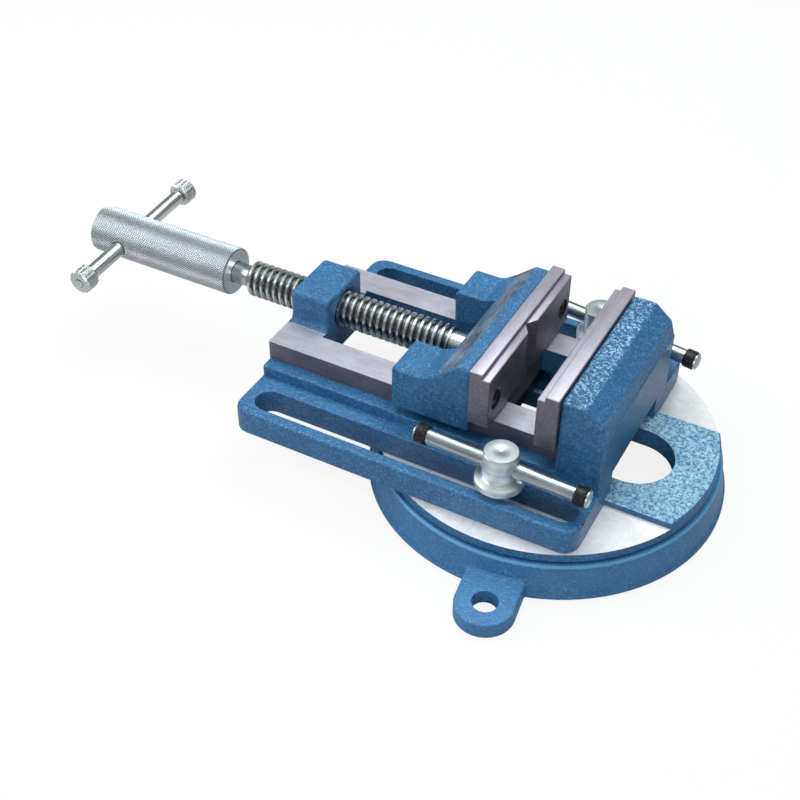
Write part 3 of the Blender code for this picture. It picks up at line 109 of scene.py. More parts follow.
# Each clamp's side, its bar's angle from the screw in degrees, and how far the bar is slid out
CLAMPS = {"near": (-1, -1.9, 0.0), "far": (1, -8.0, 0.0120)}
CASTING_SMOOTH_ANGLE = 50.0

# Finishes: the depth of the marks of polishing, of a machine tool and of a brush
POLISH = 0.000005
FEED = 0.00004
BRUSHED = 0.0004

# The camera, fitted to the vise's edges in the photograph
CAMERA_PLACE = (0.264919, -0.491456, 0.484443)
CAMERA_RIGHT = (0.884615, 0.465966, 0.018221)
CAMERA_UP = (-0.305445, 0.549461, 0.777686)
CAMERA_BACK = (0.352364, -0.693518, 0.628388)
CAMERA_LENS = 59.7496
CAMERA_SENSOR = 36.0
CAMERA_SHIFT = (-0.018672, -0.047800)


# Modelling helpers


def only(item):
    """Make one object the only one that is selected, and the active one."""
    bpy.ops.object.select_all(action="DESELECT")
    item.select_set(True)
    bpy.context.view_layer.objects.active = item


def pick(kind, rule):
    """In edit mode, select only the elements that meet a rule."""
    bpy.ops.mesh.select_mode(type=kind)
    bpy.ops.mesh.select_all(action="DESELECT")
    shape = bmesh.from_edit_mesh(bpy.context.edit_object.data)
    elements = {"VERT": shape.verts, "EDGE": shape.edges, "FACE": shape.faces}[kind]
    for element in elements:
        if rule(element):
            element.select_set(True)
    shape.select_flush_mode()
    bmesh.update_edit_mesh(bpy.context.edit_object.data)


def apply(item, modifier):
    """Apply one modifier."""
    only(item)
    bpy.ops.object.modifier_apply(modifier=modifier.name)


def settle(item, matrix=None):
    """Move an object by a matrix and put its place in its mesh."""
    if matrix is not None:
        item.matrix_world = matrix @ item.matrix_world
    only(item)
    bpy.ops.object.transform_apply(location=True, rotation=True, scale=True)
    return item


def round_edges(item, width, segments=3, angle=32.0):
    """Round every edge that is sharper than an angle in degrees."""
    bevel = item.modifiers.new("Round", "BEVEL")
    bevel.width = width
    bevel.segments = segments
    bevel.limit_method = "ANGLE"
    bevel.angle_limit = math.radians(angle)
    bevel.use_clamp_overlap = True
    apply(item, bevel)
    return item


def smooth(item, angle=32.0):
    """Shade an object smooth except over its sharp edges."""
    only(item)
    bpy.ops.object.shade_smooth_by_angle(angle=math.radians(angle))
    return item


def smooth_casting(item):
    """Shade a casting so that its narrow rounded edges take the light and its broad faces stay flat."""
    smooth(item, CASTING_SMOOTH_ANGLE)
    weighted = item.modifiers.new("Broad Faces", "WEIGHTED_NORMAL")
    weighted.keep_sharp = True
    weighted.weight = 80
    apply(item, weighted)
    return item


def combine(item, tool, operation="DIFFERENCE"):
    """Cut or join an object with a tool, and remove the tool."""
    modifier = item.modifiers.new("Combine", "BOOLEAN")
    modifier.operation = operation
    modifier.solver = "EXACT"
    modifier.object = tool
    apply(item, modifier)
    bpy.data.objects.remove(tool, do_unlink=True)
    return item


def turn_up(name, outline, steps=96):
    """Turn (radius, height) pairs about Z into a capped solid, by extruding one disc up through them."""
    radius, height = outline[0]
    bpy.ops.object.select_all(action="DESELECT")
    bpy.ops.mesh.primitive_circle_add(vertices=steps, radius=radius, fill_type="NGON")
    item = bpy.context.object
    item.name = name
    bpy.ops.object.mode_set(mode="EDIT")
    bpy.ops.mesh.select_all(action="SELECT")
    bpy.ops.transform.translate(value=(0, 0, height))
    for next_radius, next_height in outline[1:]:
        bpy.ops.mesh.extrude_region_move(TRANSFORM_OT_translate={"value": (0, 0, next_height - height)})
        share = next_radius / radius
        if share != 1:
            bpy.ops.transform.resize(value=(share, share, 1), center_override=(0, 0, next_height))
        radius, height = next_radius, next_height
    bpy.ops.mesh.select_all(action="SELECT")
    bpy.ops.mesh.normals_make_consistent(inside=False)
    bpy.ops.object.mode_set(mode="OBJECT")
    return item


def rod(name, start, end, radius, steps=32):
    """A plain cylinder between two points, as a tool for cuts and joins."""
    start = Vector(start)
    end = Vector(end)
    span = end - start
    item = turn_up(name, [(radius, -span.length / 2), (radius, span.length / 2)], steps)
    return settle(item, Matrix.Translation((start + end) / 2) @ facing(span))


def slanted(degrees):
    """A level heading near +X, turned by an angle."""
    return Vector((math.cos(math.radians(degrees)), math.sin(math.radians(degrees)), 0))


def facing(heading):
    """The matrix that turns an upright piece to a heading."""
    return heading.to_track_quat("Z", "Y").to_matrix().to_4x4()


def along_x(place):
    """The matrix that lays an upright piece along +X at a place."""
    return Matrix.Translation(place) @ Matrix.Rotation(math.radians(90), 4, "Y")


def knurled_bar(name, radius, depth, around, row, rows):
    """A capped cylinder along Z whose side is cut into small pyramids, as a diamond knurl.

    Crests and valleys take turns round each ring, and swap places from one ring to the next.
    """
    valley = (radius - depth) / radius
    bpy.ops.object.select_all(action="DESELECT")
    bpy.ops.mesh.primitive_circle_add(vertices=around, radius=radius, fill_type="NOTHING")
    item = bpy.context.object
    item.name = name
    step = math.tau / around

    def ring_place(vertex):
        return round(math.atan2(vertex.co.y, vertex.co.x) / step) % 2

    bpy.ops.object.mode_set(mode="EDIT")
    pick("VERT", lambda vertex: ring_place(vertex) == 1)
    bpy.ops.transform.resize(value=(valley, valley, 1), center_override=(0, 0, 0))
    for index in (1, 2):
        level = index * row
        pick("EDGE", lambda edge: min(v.co.z for v in edge.verts) > level - 1.5 * row)
        bpy.ops.mesh.extrude_edges_move(TRANSFORM_OT_translate={"value": (0, 0, row)})
        for parity, share in ((0, valley), (1, 1 / valley)):
            grow = share if index == 1 else 1 / share
            pick("VERT", lambda vertex: vertex.co.z > level - row / 2 and ring_place(vertex) == parity)
            bpy.ops.transform.resize(value=(grow, grow, 1), center_override=(0, 0, level))
    bpy.ops.object.mode_set(mode="OBJECT")
    array = item.modifiers.new("Rows", "ARRAY")
    array.count = rows // 2
    array.use_relative_offset = False
    array.use_constant_offset = True
    array.constant_offset_displace = (0, 0, 2 * row)
    array.use_merge_vertices = True
    array.merge_threshold = row / 20
    apply(item, array)
    split = item.modifiers.new("Facets", "TRIANGULATE")
    split.quad_method = "SHORTEST_DIAGONAL"
    apply(item, split)
    top = rows // 2 * 2 * row
    bpy.ops.object.mode_set(mode="EDIT")
    shrink = 1 - 2 * depth / radius
    for level, way in ((0, -1), (top, 1)):

        def at_end(edge):
            return edge.is_boundary and all(abs(v.co.z - level) < row / 10 for v in edge.verts)

        pick("EDGE", at_end)
        bpy.ops.mesh.extrude_edges_move(TRANSFORM_OT_translate={"value": (0, 0, way * row)})
        bpy.ops.transform.resize(value=(shrink, shrink, 1), center_override=(0, 0, level + way * row))
        bpy.ops.mesh.edge_face_add()
    bpy.ops.mesh.select_all(action="SELECT")
    bpy.ops.mesh.normals_make_consistent(inside=False)
    bpy.ops.object.mode_set(mode="OBJECT")
    return item


def casting_copy(node, name, steps=()):
    """A merged copy of a packed casting, whose flat faces are whole again.

    Each step is a pair of places along X: what lies between them is set back to the first.
    """
    item = bpy.data.objects.new(name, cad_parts[node].data.copy())
    bpy.context.scene.collection.objects.link(item)
    only(item)
    bpy.ops.mesh.customdata_custom_splitnormals_clear()
    bpy.ops.object.mode_set(mode="EDIT")
    for place, end in steps:
        low, high = sorted((place, end))
        pick("VERT", lambda vertex: low < vertex.co.x < high)
        bpy.ops.transform.resize(value=(0, 1, 1), center_override=(place, 0, 0))
    bpy.ops.mesh.select_all(action="SELECT")
    bpy.ops.mesh.remove_doubles(threshold=0.00002)
    bpy.ops.mesh.dissolve_limited(angle_limit=math.radians(0.8))
    bpy.ops.object.mode_set(mode="OBJECT")
    return item


def weigh_edges(item, rule):
    """Give each sharp edge a bevel weight by a rule of its middle, its length and whether it juts out."""
    shape = bmesh.new()
    shape.from_mesh(item.data)
    weights = shape.edges.layers.float.new("bevel_weight_edge")
    for edge in shape.edges:
        if len(edge.link_faces) != 2 or edge.calc_face_angle() < math.radians(28):
            continue
        middle = (edge.verts[0].co + edge.verts[1].co) / 2
        edge[weights] = rule(middle, edge, edge.is_convex)
    shape.to_mesh(item.data)
    shape.free()


def round_weighted(item, width, segments=4):
    """Round the weighted edges."""
    bevel = item.modifiers.new("Round", "BEVEL")
    bevel.width = width
    bevel.segments = segments
    bevel.limit_method = "WEIGHT"
    bevel.use_clamp_overlap = False
    bevel.loop_slide = True
    apply(item, bevel)


def paint_faces(item, finishes, rule):
    """Give an object its finishes, and each face the one that a rule picks."""
    item.data.materials.clear()
    for finish in finishes:
        item.data.materials.append(finish)
    for face in item.data.polygons:
        face.material_index = rule(face.center, face.normal)


def dress(item, body, nodes, finish=None):
    """Give a finished piece its finish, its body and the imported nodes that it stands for."""
    if finish is not None:
        item.data.materials.clear()
        item.data.materials.append(finish)
    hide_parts(*nodes)
    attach(item, body)
    return item


# Finishes


class Wire:
    """A value or colour in a finish, on which Python's arithmetic adds Math nodes."""

    def __init__(self, finish, socket):
        self.finish = finish
        self.socket = socket

    def math(self, operation, *values):
        return self.finish.node("ShaderNodeMath", {"operation": operation}, dict(enumerate(values)))["Value"]

    def __add__(self, other):
        return self.math("ADD", self, other)

    def __radd__(self, other):
        return self.math("ADD", other, self)

    def __sub__(self, other):
        return self.math("SUBTRACT", self, other)

    def __rsub__(self, other):
        return self.math("SUBTRACT", other, self)

    def __mul__(self, other):
        return self.math("MULTIPLY", self, other)

    def __rmul__(self, other):
        return self.math("MULTIPLY", other, self)

    def __pow__(self, other):
        return self.math("POWER", self, other)

    def between(self, low, high):
        """A smooth step from 0 at low to 1 at high."""
        settings = {"interpolation_type": "SMOOTHSTEP"}
        sockets = {"Value": self, "From Min": low, "From Max": high}
        return self.finish.node("ShaderNodeMapRange", settings, sockets)["Result"]


class Step:
    """A node of a finish, whose outputs are read by name."""

    def __init__(self, finish, node):
        self.finish = finish
        self.node = node

    def __getitem__(self, name):
        return Wire(self.finish, self.node.outputs[name])


class Finish:
    """A material that is built node by node."""

    def __init__(self, name):
        self.material = bpy.data.materials.new(name)
        self.material.use_nodes = True
        self.tree = self.material.node_tree
        self.shader = self.tree.nodes["Principled BSDF"]
        self.output = self.tree.nodes["Material Output"]
        self.place = self.node("ShaderNodeTexCoord", {}, {})["Object"]

    def plug(self, socket, value):
        """Set a socket or link it."""
        if isinstance(value, Wire):
            self.tree.links.new(value.socket, socket)
        else:
            socket.default_value = value

    def node(self, kind, settings, sockets):
        """Add a node: its settings and ramp stops first, then its sockets' values or links."""
        node = self.tree.nodes.new(kind)
        for name, value in settings.items():
            if name == "stops":
                ramp = node.color_ramp.elements
                for index, (position, colour) in enumerate(value):
                    stop = ramp[index] if index < len(ramp) else ramp.new(position)
                    stop.position = position
                    stop.color = (*colour, 1.0)
            else:
                setattr(node, name, value)
        for name, value in sockets.items():
            self.plug(node.inputs[name], value)
        return Step(self, node)

    def principled(self, **sockets):
        """Set the shader's sockets, named with underscores for spaces."""
        for name, value in sockets.items():
            self.plug(self.shader.inputs[name.replace("_", " ")], value)
        return self.material

    def mix(self, factor, first, second):
        """Mix two colours."""
        first, second = ((*c, 1.0) if isinstance(c, tuple) and len(c) == 3 else c for c in (first, second))
        node = self.node("ShaderNodeMix", {"data_type": "RGBA"}, {"Factor": factor})
        self.plug(node.node.inputs[6], first)
        self.plug(node.node.inputs[7], second)
        return Wire(self, node.node.outputs[2])

    def stretched(self, scale):
        """Object coordinates multiplied along each axis."""
        sockets = {0: self.place, 1: scale}
        return self.node("ShaderNodeVectorMath", {"operation": "MULTIPLY"}, sockets)["Vector"]

    def noise(self, scale, detail=2.0, where=None, roughness=0.5):
        """A noise value about 0.5."""
        sockets = {"Vector": where or self.place, "Scale": scale, "Detail": detail, "Roughness": roughness}
        return self.node("ShaderNodeTexNoise", {}, sockets)["Fac"]

    def axes(self):
        """The three object coordinates."""
        split = self.node("ShaderNodeSeparateXYZ", {}, {"Vector": self.place})
        return split["X"], split["Y"], split["Z"]

    def bump(self, height, distance, strength=1.0):
        """A normal from a height."""
        sockets = {"Height": height, "Distance": distance, "Strength": strength}
        return self.node("ShaderNodeBump", {}, sockets)["Normal"]


def hammered_enamel(name, deep, base, light, scale, crests, depth, shoulder=None):
    """Enamel that has dried in small wandering blisters, which start and end at two heights.

    The blisters' crests carry painted glints in a lighter colour, and the darker blue falls partly at random
    and partly as painted shade in the blisters' low places.
    A painted highlight runs along a shoulder round the swivel axis, given as its radius and height.
    """
    finish = Finish(name)
    sockets = {"Vector": finish.place, "Scale": scale, "Detail": 2.0, "Roughness": 0.5, "Distortion": 0.9}
    blister = finish.node("ShaderNodeTexNoise", {}, sockets)["Fac"]
    fine = finish.noise(scale * 3.1, 2.0)
    patch = finish.noise(60.0, 3.0)
    crest = blister.between(*crests)
    # painted shade: the darker blue falls partly at random and partly in the blisters' low places
    mottle_and_valley_shade = (blister * 0.6 + patch * 0.4).between(0.35, 0.55)
    ground = finish.mix(mottle_and_valley_shade, tuple(deep), tuple(base))
    # painted glints: the blisters' crests take the lighter colour
    painted = finish.mix(crest * (patch + 0.35), ground, tuple(light))
    if shoulder:
        x, y, z = finish.axes()
        along = x - SWIVEL_X
        outward = (along * along + y * y) ** 0.5 - shoulder[0]
        upward = z - shoulder[1]
        away = (outward * outward + upward * upward) ** 0.5
        # painted highlight: a lighter band along the rounded shoulder of the ring
        shoulder_highlight = (1.0 - away.between(0.0003, 0.0012)) * (fine * 0.6 + 0.45)
        painted = finish.mix(shoulder_highlight, painted, tuple(light))
    return finish.principled(
        Base_Color=painted,
        Roughness=0.36 - crest * 0.12 + (fine - 0.5) * 0.12,
        Normal=finish.bump(blister + fine * 0.18, depth),
        Specular_IOR_Level=0.5,
    )


def machined_metal(name, colour, rough, grain, wear, metallic, speckle, marks):
    """Bare metal with tool marks that are stretched along each axis by the grain."""
    finish = Finish(name)
    lines = finish.noise(1.0, 4.0, finish.stretched(grain), 0.65)
    cloud = finish.noise(70.0, 4.0, roughness=0.6)
    fleck = finish.noise(1100.0, 2.0)
    tone = lines * 0.5 + cloud * 0.5 + (fleck - 0.5) * speckle
    darker = tuple(channel * (1.0 - wear) for channel in colour)
    return finish.principled(
        Base_Color=finish.mix(tone.between(0.34, 0.66), darker, tuple(colour)),
        Metallic=metallic,
        Roughness=rough + (lines - 0.5) * 0.25 + (cloud - 0.5) * 0.12,
        Normal=finish.bump(lines + fleck * speckle, marks),
    )


def grooved_zinc(name, colour, dark_in_grooves, axis_z, valley, crest, rough, until):
    """Zinc plating whose grooves round an axis along X, up to a place on it, are darkened, partly as oil and
    partly as painted shade.
    """
    finish = Finish(name)
    x, y, z = finish.axes()
    off_axis = z - axis_z
    distance = (y * y + off_axis * off_axis) ** 0.5
    cloud = finish.noise(80.0, 3.0)
    fleck = finish.noise(900.0, 2.0)
    # oil and painted shade: the grooves darken between the valley and crest radii
    groove = (1.0 - distance.between(valley, crest)) * distance.between(valley - 0.0006, valley - 0.0003)
    groove = groove * (1.0 - x.between(until, until + 0.0004))
    duller = tuple(channel * 0.86 for channel in colour)
    bright = finish.mix(cloud.between(0.3, 0.7), duller, tuple(colour))
    return finish.principled(
        Base_Color=finish.mix(groove, bright, tuple(dark_in_grooves)),
        Metallic=1.0,
        Roughness=rough + (fleck - 0.5) * 0.2,
    )


def turned_zinc(name, colour, centre_x, centre_y, rough):
    """Zinc plating over lathe marks that ring two upright bolts, one each side of the centre."""
    finish = Finish(name)
    x, y, z = finish.axes()
    across = y.math("ABSOLUTE", y) - centre_y
    along = x - centre_x
    distance = (along * along + across * across) ** 0.5
    ringed = {"X": distance * 6.0, "Y": across * 0.3, "Z": z * 3.0}
    marks = finish.noise(300.0, 3.0, finish.node("ShaderNodeCombineXYZ", {}, ringed)["Vector"], 0.6)
    cloud = finish.noise(120.0, 3.0)
    tone = marks * 0.6 + cloud * 0.4
    duller = tuple(channel * 0.72 for channel in colour)
    worn = finish.mix(tone.between(0.35, 0.65), duller, tuple(colour))
    # painted shade: the bolts' flat tops are darkened towards 0.4 of the zinc's colour
    top = z.between(BOLT_TOP - 0.0012, BOLT_TOP - 0.0004) * 0.75
    return finish.principled(
        Base_Color=finish.mix(top, worn, tuple(channel * 0.4 for channel in colour)),
        Metallic=0.85,
        Roughness=rough + (marks - 0.5) * 0.3,
        Normal=finish.bump(marks, 0.00005),
    )


def black_oxide(name, colour):
    """Blackened steel, rubbed grey on its crests."""
    finish = Finish(name)
    speck = finish.noise(1400.0, 3.0)
    mixed = finish.mix(speck.between(0.50, 0.80), tuple(colour), (0.10, 0.10, 0.11))
    return finish.principled(Base_Color=mixed, Metallic=0.85, Roughness=0.30 + speck * 0.25)


# Settings that a user may change


def colour_setting(name, description, default):
    """A colour that a user may change."""
    return bpy.props.FloatVectorProperty(
        name=name, description=description, size=3, subtype="COLOR", default=default
    )


def length_setting(name, description, default):
    """A length that a user may change."""
    return bpy.props.FloatProperty(name=name, description=description, default=default, unit="LENGTH")


class ViseColours(bpy.types.PropertyGroup):
    """The colours of the vise's finishes."""

    enamel: colour_setting("Enamel", "Blue of the enamel", (0.023, 0.134, 0.312))
    # painted glints on the blister crests of the body and the moving jaw
    enamel_glint: colour_setting("Light enamel", "Blue of its blisters", (0.070, 0.285, 0.500))
    # painted glints: the brightest crests of the strip's painted sheen
    enamel_strip: colour_setting("Strip enamel", "Blisters of the strip", (0.50, 0.77, 0.90))
    # partly painted shade: the blue of the blisters' low places, mixed with a random mottle
    enamel_deep: colour_setting("Deep enamel", "Blue of its low places", (0.019, 0.098, 0.235))
    # painted glints on the blister crests of the fixed jaw's top
    top_glint: colour_setting("Enamel crests", "Blisters of the fixed jaw's top", (0.36, 0.63, 0.80))
    # painted sheen: the strip's low places, a lighter copy of the deep enamel
    strip_deep_painted_lit: colour_setting("Deep strip", "Low places of the strip", (0.060, 0.230, 0.440))
    # painted sheen: the strip's ground, a lighter copy of the enamel
    strip_ground_painted_lit: colour_setting("Strip ground", "Between the strip's blisters", (0.125, 0.35, 0.57))
    ring_enamel: colour_setting("Ring enamel", "Blue of the base ring", (0.036, 0.180, 0.400))
    # painted glints on the ring's blister crests, and the painted highlight along its shoulder
    ring_glint: colour_setting("Light ring enamel", "Blue of its blisters", (0.120, 0.390, 0.620))
    # partly painted shade: the blue of the ring's low places, mixed with a random mottle
    ring_deep: colour_setting("Deep ring enamel", "Blue of its low places", (0.031, 0.148, 0.335))
    plate_steel: colour_setting("Plate steel", "Ground edges of the plates", (0.50, 0.47, 0.55))
    # darker on every face of the plates that does not face up
    plate_darker_faces: colour_setting("Plate scale", "Ends and faces of the plates", (0.235, 0.230, 0.275))
    rail_iron: colour_setting("Rail iron", "Machined tops of the rails", (0.53, 0.52, 0.59))
    # painted shade: a darker copy of the machined iron, for the rails' sides and ends and the jaw's saddle
    shaded_machined_iron: colour_setting("Rail sides", "Oiled sides of the rails", (0.21, 0.20, 0.245))
    table_iron: colour_setting("Table iron", "Bright tops of the turntable", (0.88, 0.87, 0.88))
    brushed_slope: colour_setting("Brushed slope", "Bare slope of the jaw", (0.230, 0.350, 0.520))
    zinc: colour_setting("Zinc", "Plated steel of the bars and bolts", (0.72, 0.76, 0.75))
    bar_zinc: colour_setting("Bar zinc", "Drawn bars of the clamps", (0.52, 0.60, 0.63))
    bolt_zinc: colour_setting("Bolt zinc", "Satin zinc of the clamp bolts", (0.86, 0.94, 0.94))
    # oil and painted shade in the screw's thread roots
    zinc_oil_and_shade: colour_setting("Oiled zinc", "Oil in the grooves", (0.15, 0.165, 0.180))
    sleeve_zinc: colour_setting("Sleeve zinc", "Crests of the sleeve's knurls", (0.64, 0.69, 0.71))
    # oil and painted shade in the sleeve's knurl valleys
    knurl_oil_and_shade: colour_setting("Knurl oil", "Dull zinc between the knurls", (0.32, 0.36, 0.39))
    dark_steel: colour_setting("Dark steel", "Oiled steel of the small screws", (0.07, 0.07, 0.075))
    black: colour_setting("Black", "Blackened caps", (0.030, 0.028, 0.030))


class ViseSizes(bpy.types.PropertyGroup):
    """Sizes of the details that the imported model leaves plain."""

    thread_pitch: length_setting("Thread pitch", "Travel of the screw in a turn", 0.004)
    thread_depth: length_setting("Thread depth", "From crest to root", 0.0021)
    knurl_row: length_setting("Knurl row", "Half the length of a knurl's diamond", 0.00070)
    knurl_depth: length_setting("Knurl depth", "From crest to valley", 0.00042)
    cast_round: length_setting("Cast round", "Rounding of the castings' edges", 0.0022)
    tool_break: length_setting("Tool break", "Broken edge of machined metal", 0.00035)
    blister_depth: length_setting("Blister depth", "Height of the enamel's blisters", 0.00055)


FINISHES = {}


def make_finishes():
    """Make every finish once."""
    colours = bpy.context.scene.vise_colours
    sizes = bpy.context.scene.vise_sizes
    sleeve = (SLEEVE[1].z - SLEEVE[0].z) / 2
    screw = (SCREW[1].z - SCREW[0].z) / 2
    root = screw - sizes.thread_depth
    blues = (colours.enamel_deep, colours.enamel)
    ring_blues = (colours.ring_deep, colours.ring_enamel, colours.ring_glint)
    strip_blues_painted_lit = (colours.strip_deep_painted_lit, colours.strip_ground_painted_lit, colours.enamel_strip)
    blister = sizes.blister_depth
    inset = 0.0004
    shoulder = (RING_SHOULDER - inset, RING[1].z - inset)
    FINISHES["enamel"] = hammered_enamel(
        "blue_enamel", *blues, colours.enamel_glint, 800.0, (0.49, 0.70), blister
    )
    # painted glints on the crests, and a painted highlight along the ring's shoulder
    FINISHES["enamel_ring"] = hammered_enamel(
        "blue_enamel_ring", *ring_blues, 900.0, (0.52, 0.78), blister * 0.7, shoulder
    )
    # painted glints: the fixed jaw's top takes brighter crests than the other tops
    FINISHES["enamel_top"] = hammered_enamel(
        "blue_enamel_top", *blues, colours.top_glint, 600.0, (0.46, 0.66), blister * 2.0
    )
    # painted sheen: a lighter copy of the enamel, with painted glints on its crests
    FINISHES["enamel_strip"] = hammered_enamel(
        "blue_enamel_strip", *strip_blues_painted_lit, 600.0, (0.38, 0.62), blister * 2.8
    )
    scale_grain = (500.0, 120.0, 500.0)
    slope_grain = (480.0, 90.0, 380.0)
    for name, title, colour, rough, grain, wear, metallic, speckle, marks in (
        ("rail", "rail_iron", colours.rail_iron, 0.45, (60.0, 500.0, 500.0), 0.22, 0.6, 0.3, FEED),
        # the second row is painted shade: the same machined iron as the first, darker
        ("shaded_machined_iron", "shaded_machined_iron", colours.shaded_machined_iron, 0.5, (40.0, 900.0, 900.0), 0.3, 0.6, 0.3, FEED),
        ("table", "table_iron", colours.table_iron, 0.5, (300.0, 300.0, 300.0), 0.16, 0.3, 0.3, FEED),
        ("plate", "plate_steel", colours.plate_steel, 0.4, (900.0, 60.0, 900.0), 0.18, 0.6, 0.4, FEED),
        ("plate_darker_faces", "plate_darker_faces", colours.plate_darker_faces, 0.48, scale_grain, 0.35, 0.7, 0.5, FEED),
        ("slope", "brushed_slope", colours.brushed_slope, 0.42, slope_grain, 0.85, 0.5, 0.4, BRUSHED),
        ("bar", "bar_zinc", colours.bar_zinc, 0.30, (30.0, 700.0, 700.0), 0.3, 1.0, 0.0, POLISH),
        ("tommy", "tommy_zinc", colours.zinc, 0.28, (700.0, 30.0, 700.0), 0.2, 1.0, 0.0, POLISH),
        ("knob", "knob_zinc", colours.zinc, 0.36, (500.0, 500.0, 500.0), 0.2, 1.0, 0.0, POLISH),
        ("dark", "dark_steel", colours.dark_steel, 0.42, (600.0, 600.0, 600.0), 0.3, 1.0, 0.0, FEED),
    ):
        FINISHES[name] = machined_metal(title, colour, rough, grain, wear, metallic, speckle, marks)
    FINISHES["bolt"] = turned_zinc("satin_zinc", colours.bolt_zinc, SWIVEL_X, CLAMP_OFFSET, 0.40)
    FINISHES["thread"] = grooved_zinc(
        "thread_zinc",
        colours.zinc,
        colours.zinc_oil_and_shade,
        SCREW_Z,
        root + 0.0003,
        screw - 0.0009,
        0.24,
        SWIVEL_X + THREAD_END,
    )
    FINISHES["knurl"] = grooved_zinc(
        "sleeve_zinc",
        colours.sleeve_zinc,
        colours.knurl_oil_and_shade,
        SCREW_Z,
        sleeve - sizes.knurl_depth,
        sleeve - 0.0001,
        0.40,
        SLEEVE[1].x + GAP,
    )
    FINISHES["black"] = black_oxide("black_oxide", colours.black)


# The pieces


class VISE_OT_base_ring(bpy.types.Operator):
    """Make the base ring with its lip, its taper and its two ears"""

    bl_idname = "vise.base_ring"
    bl_label = "Base Ring"

    def execute(self, context):
        item = casting_copy("base_ring", "ring_casting")
        weigh_edges(item, self.edge_weight)
        round_weighted(item, context.scene.vise_sizes.cast_round, 3)
        smooth_casting(item)
        dress(item, "base", ["base_ring"], FINISHES["enamel_ring"])
        return {"FINISHED"}

    def edge_weight(self, middle, edge, convex):
        """Only the ring's upper shoulder is rounded here: its ears are round already."""
        near = 0.0010
        outward = math.hypot(middle.x - SWIVEL_X, middle.y) - RING_SHOULDER
        return 0.5 if convex and middle.z > RING[1].z - near and outward > -near else 0.0


class VISE_OT_turntable(bpy.types.Operator):
    """Make the turntable with its enamelled strip, its slot and its machined tops"""

    bl_idname = "vise.turntable"
    bl_label = "Turntable"

    def execute(self, context):
        low, high = TABLE
        radius = (high.x - low.x) / 2
        rim = RING[1].z + GAP
        spigot = 0.0800
        undercut = 0.0010
        edge_break = 0.0006
        bolt_bore = 0.0053
        past = 0.1000
        below, hole_top, above = (Vector((0, 0, level)) for level in (0.0100, 0.0300, 0.0400))
        outline = [
            (spigot, low.z),
            (spigot, rim),
            (radius - undercut, rim),
            (radius, rim + undercut),
            (radius, high.z - edge_break),
            (radius - edge_break, high.z),
        ]
        item = turn_up("turntable_casting", outline, 192)
        settle(item, Matrix.Translation((SWIVEL_X, 0, 0)))
        for side in (-1, 1):
            combine(item, self.block((-past, side * STRIP_HALF, TABLE_TOP), (past, side * past, above.z)))
            hole = Vector((SWIVEL_X, side * CLAMP_OFFSET, 0))
            combine(item, rod("bolt_hole", hole + below, hole + hole_top, bolt_bore, 32))
        slot = self.block((-SLOT_CENTRE, -SLOT_HALF, below.z), (SLOT_CENTRE, SLOT_HALF, above.z))
        for end in (-1, 1):
            tip = Vector((SWIVEL_X + end * SLOT_CENTRE, 0, 0))
            combine(slot, rod("slot_end", tip + below, tip + above, SLOT_HALF, 64), "UNION")
        combine(item, slot)
        paint_faces(item, [FINISHES["enamel_strip"], FINISHES["table"], FINISHES["enamel"]], self.finish_of)
        weigh_edges(item, self.edge_weight)
        round_weighted(item, context.scene.vise_sizes.cast_round / 2, 3)
        smooth(item, 40)
        dress(item, "swivel_table", ["turntable"])
        return {"FINISHED"}

    def block(self, low, high):
        """A box between two corners, counted from the swivel axis."""
        low = Vector(low)
        high = Vector(high)
        bpy.ops.object.select_all(action="DESELECT")
        bpy.ops.mesh.primitive_cube_add(size=1, location=(low + high) / 2 + Vector((SWIVEL_X, 0, 0)))
        item = bpy.context.object
        item.scale = [abs(high[i] - low[i]) for i in range(3)]
        return settle(item)

    def finish_of(self, centre, normal):
        """The machined tops are bare, and the rim and the strip are enamelled; the strip's tops take a
        lighter copy of the enamel with painted glints, as painted sheen.
        """
        if normal.z > 0.9:
            # painted sheen: the strip's upward faces take the lighter enamel
            return 0 if centre.z > TABLE_TOP + GAP else 1
        return 2

    def edge_weight(self, middle, edge, convex):
        """Round the strip's outer edges and the slot's mouth."""
        return 0.5 if convex and middle.z > TABLE[1].z - GAP else 0.0


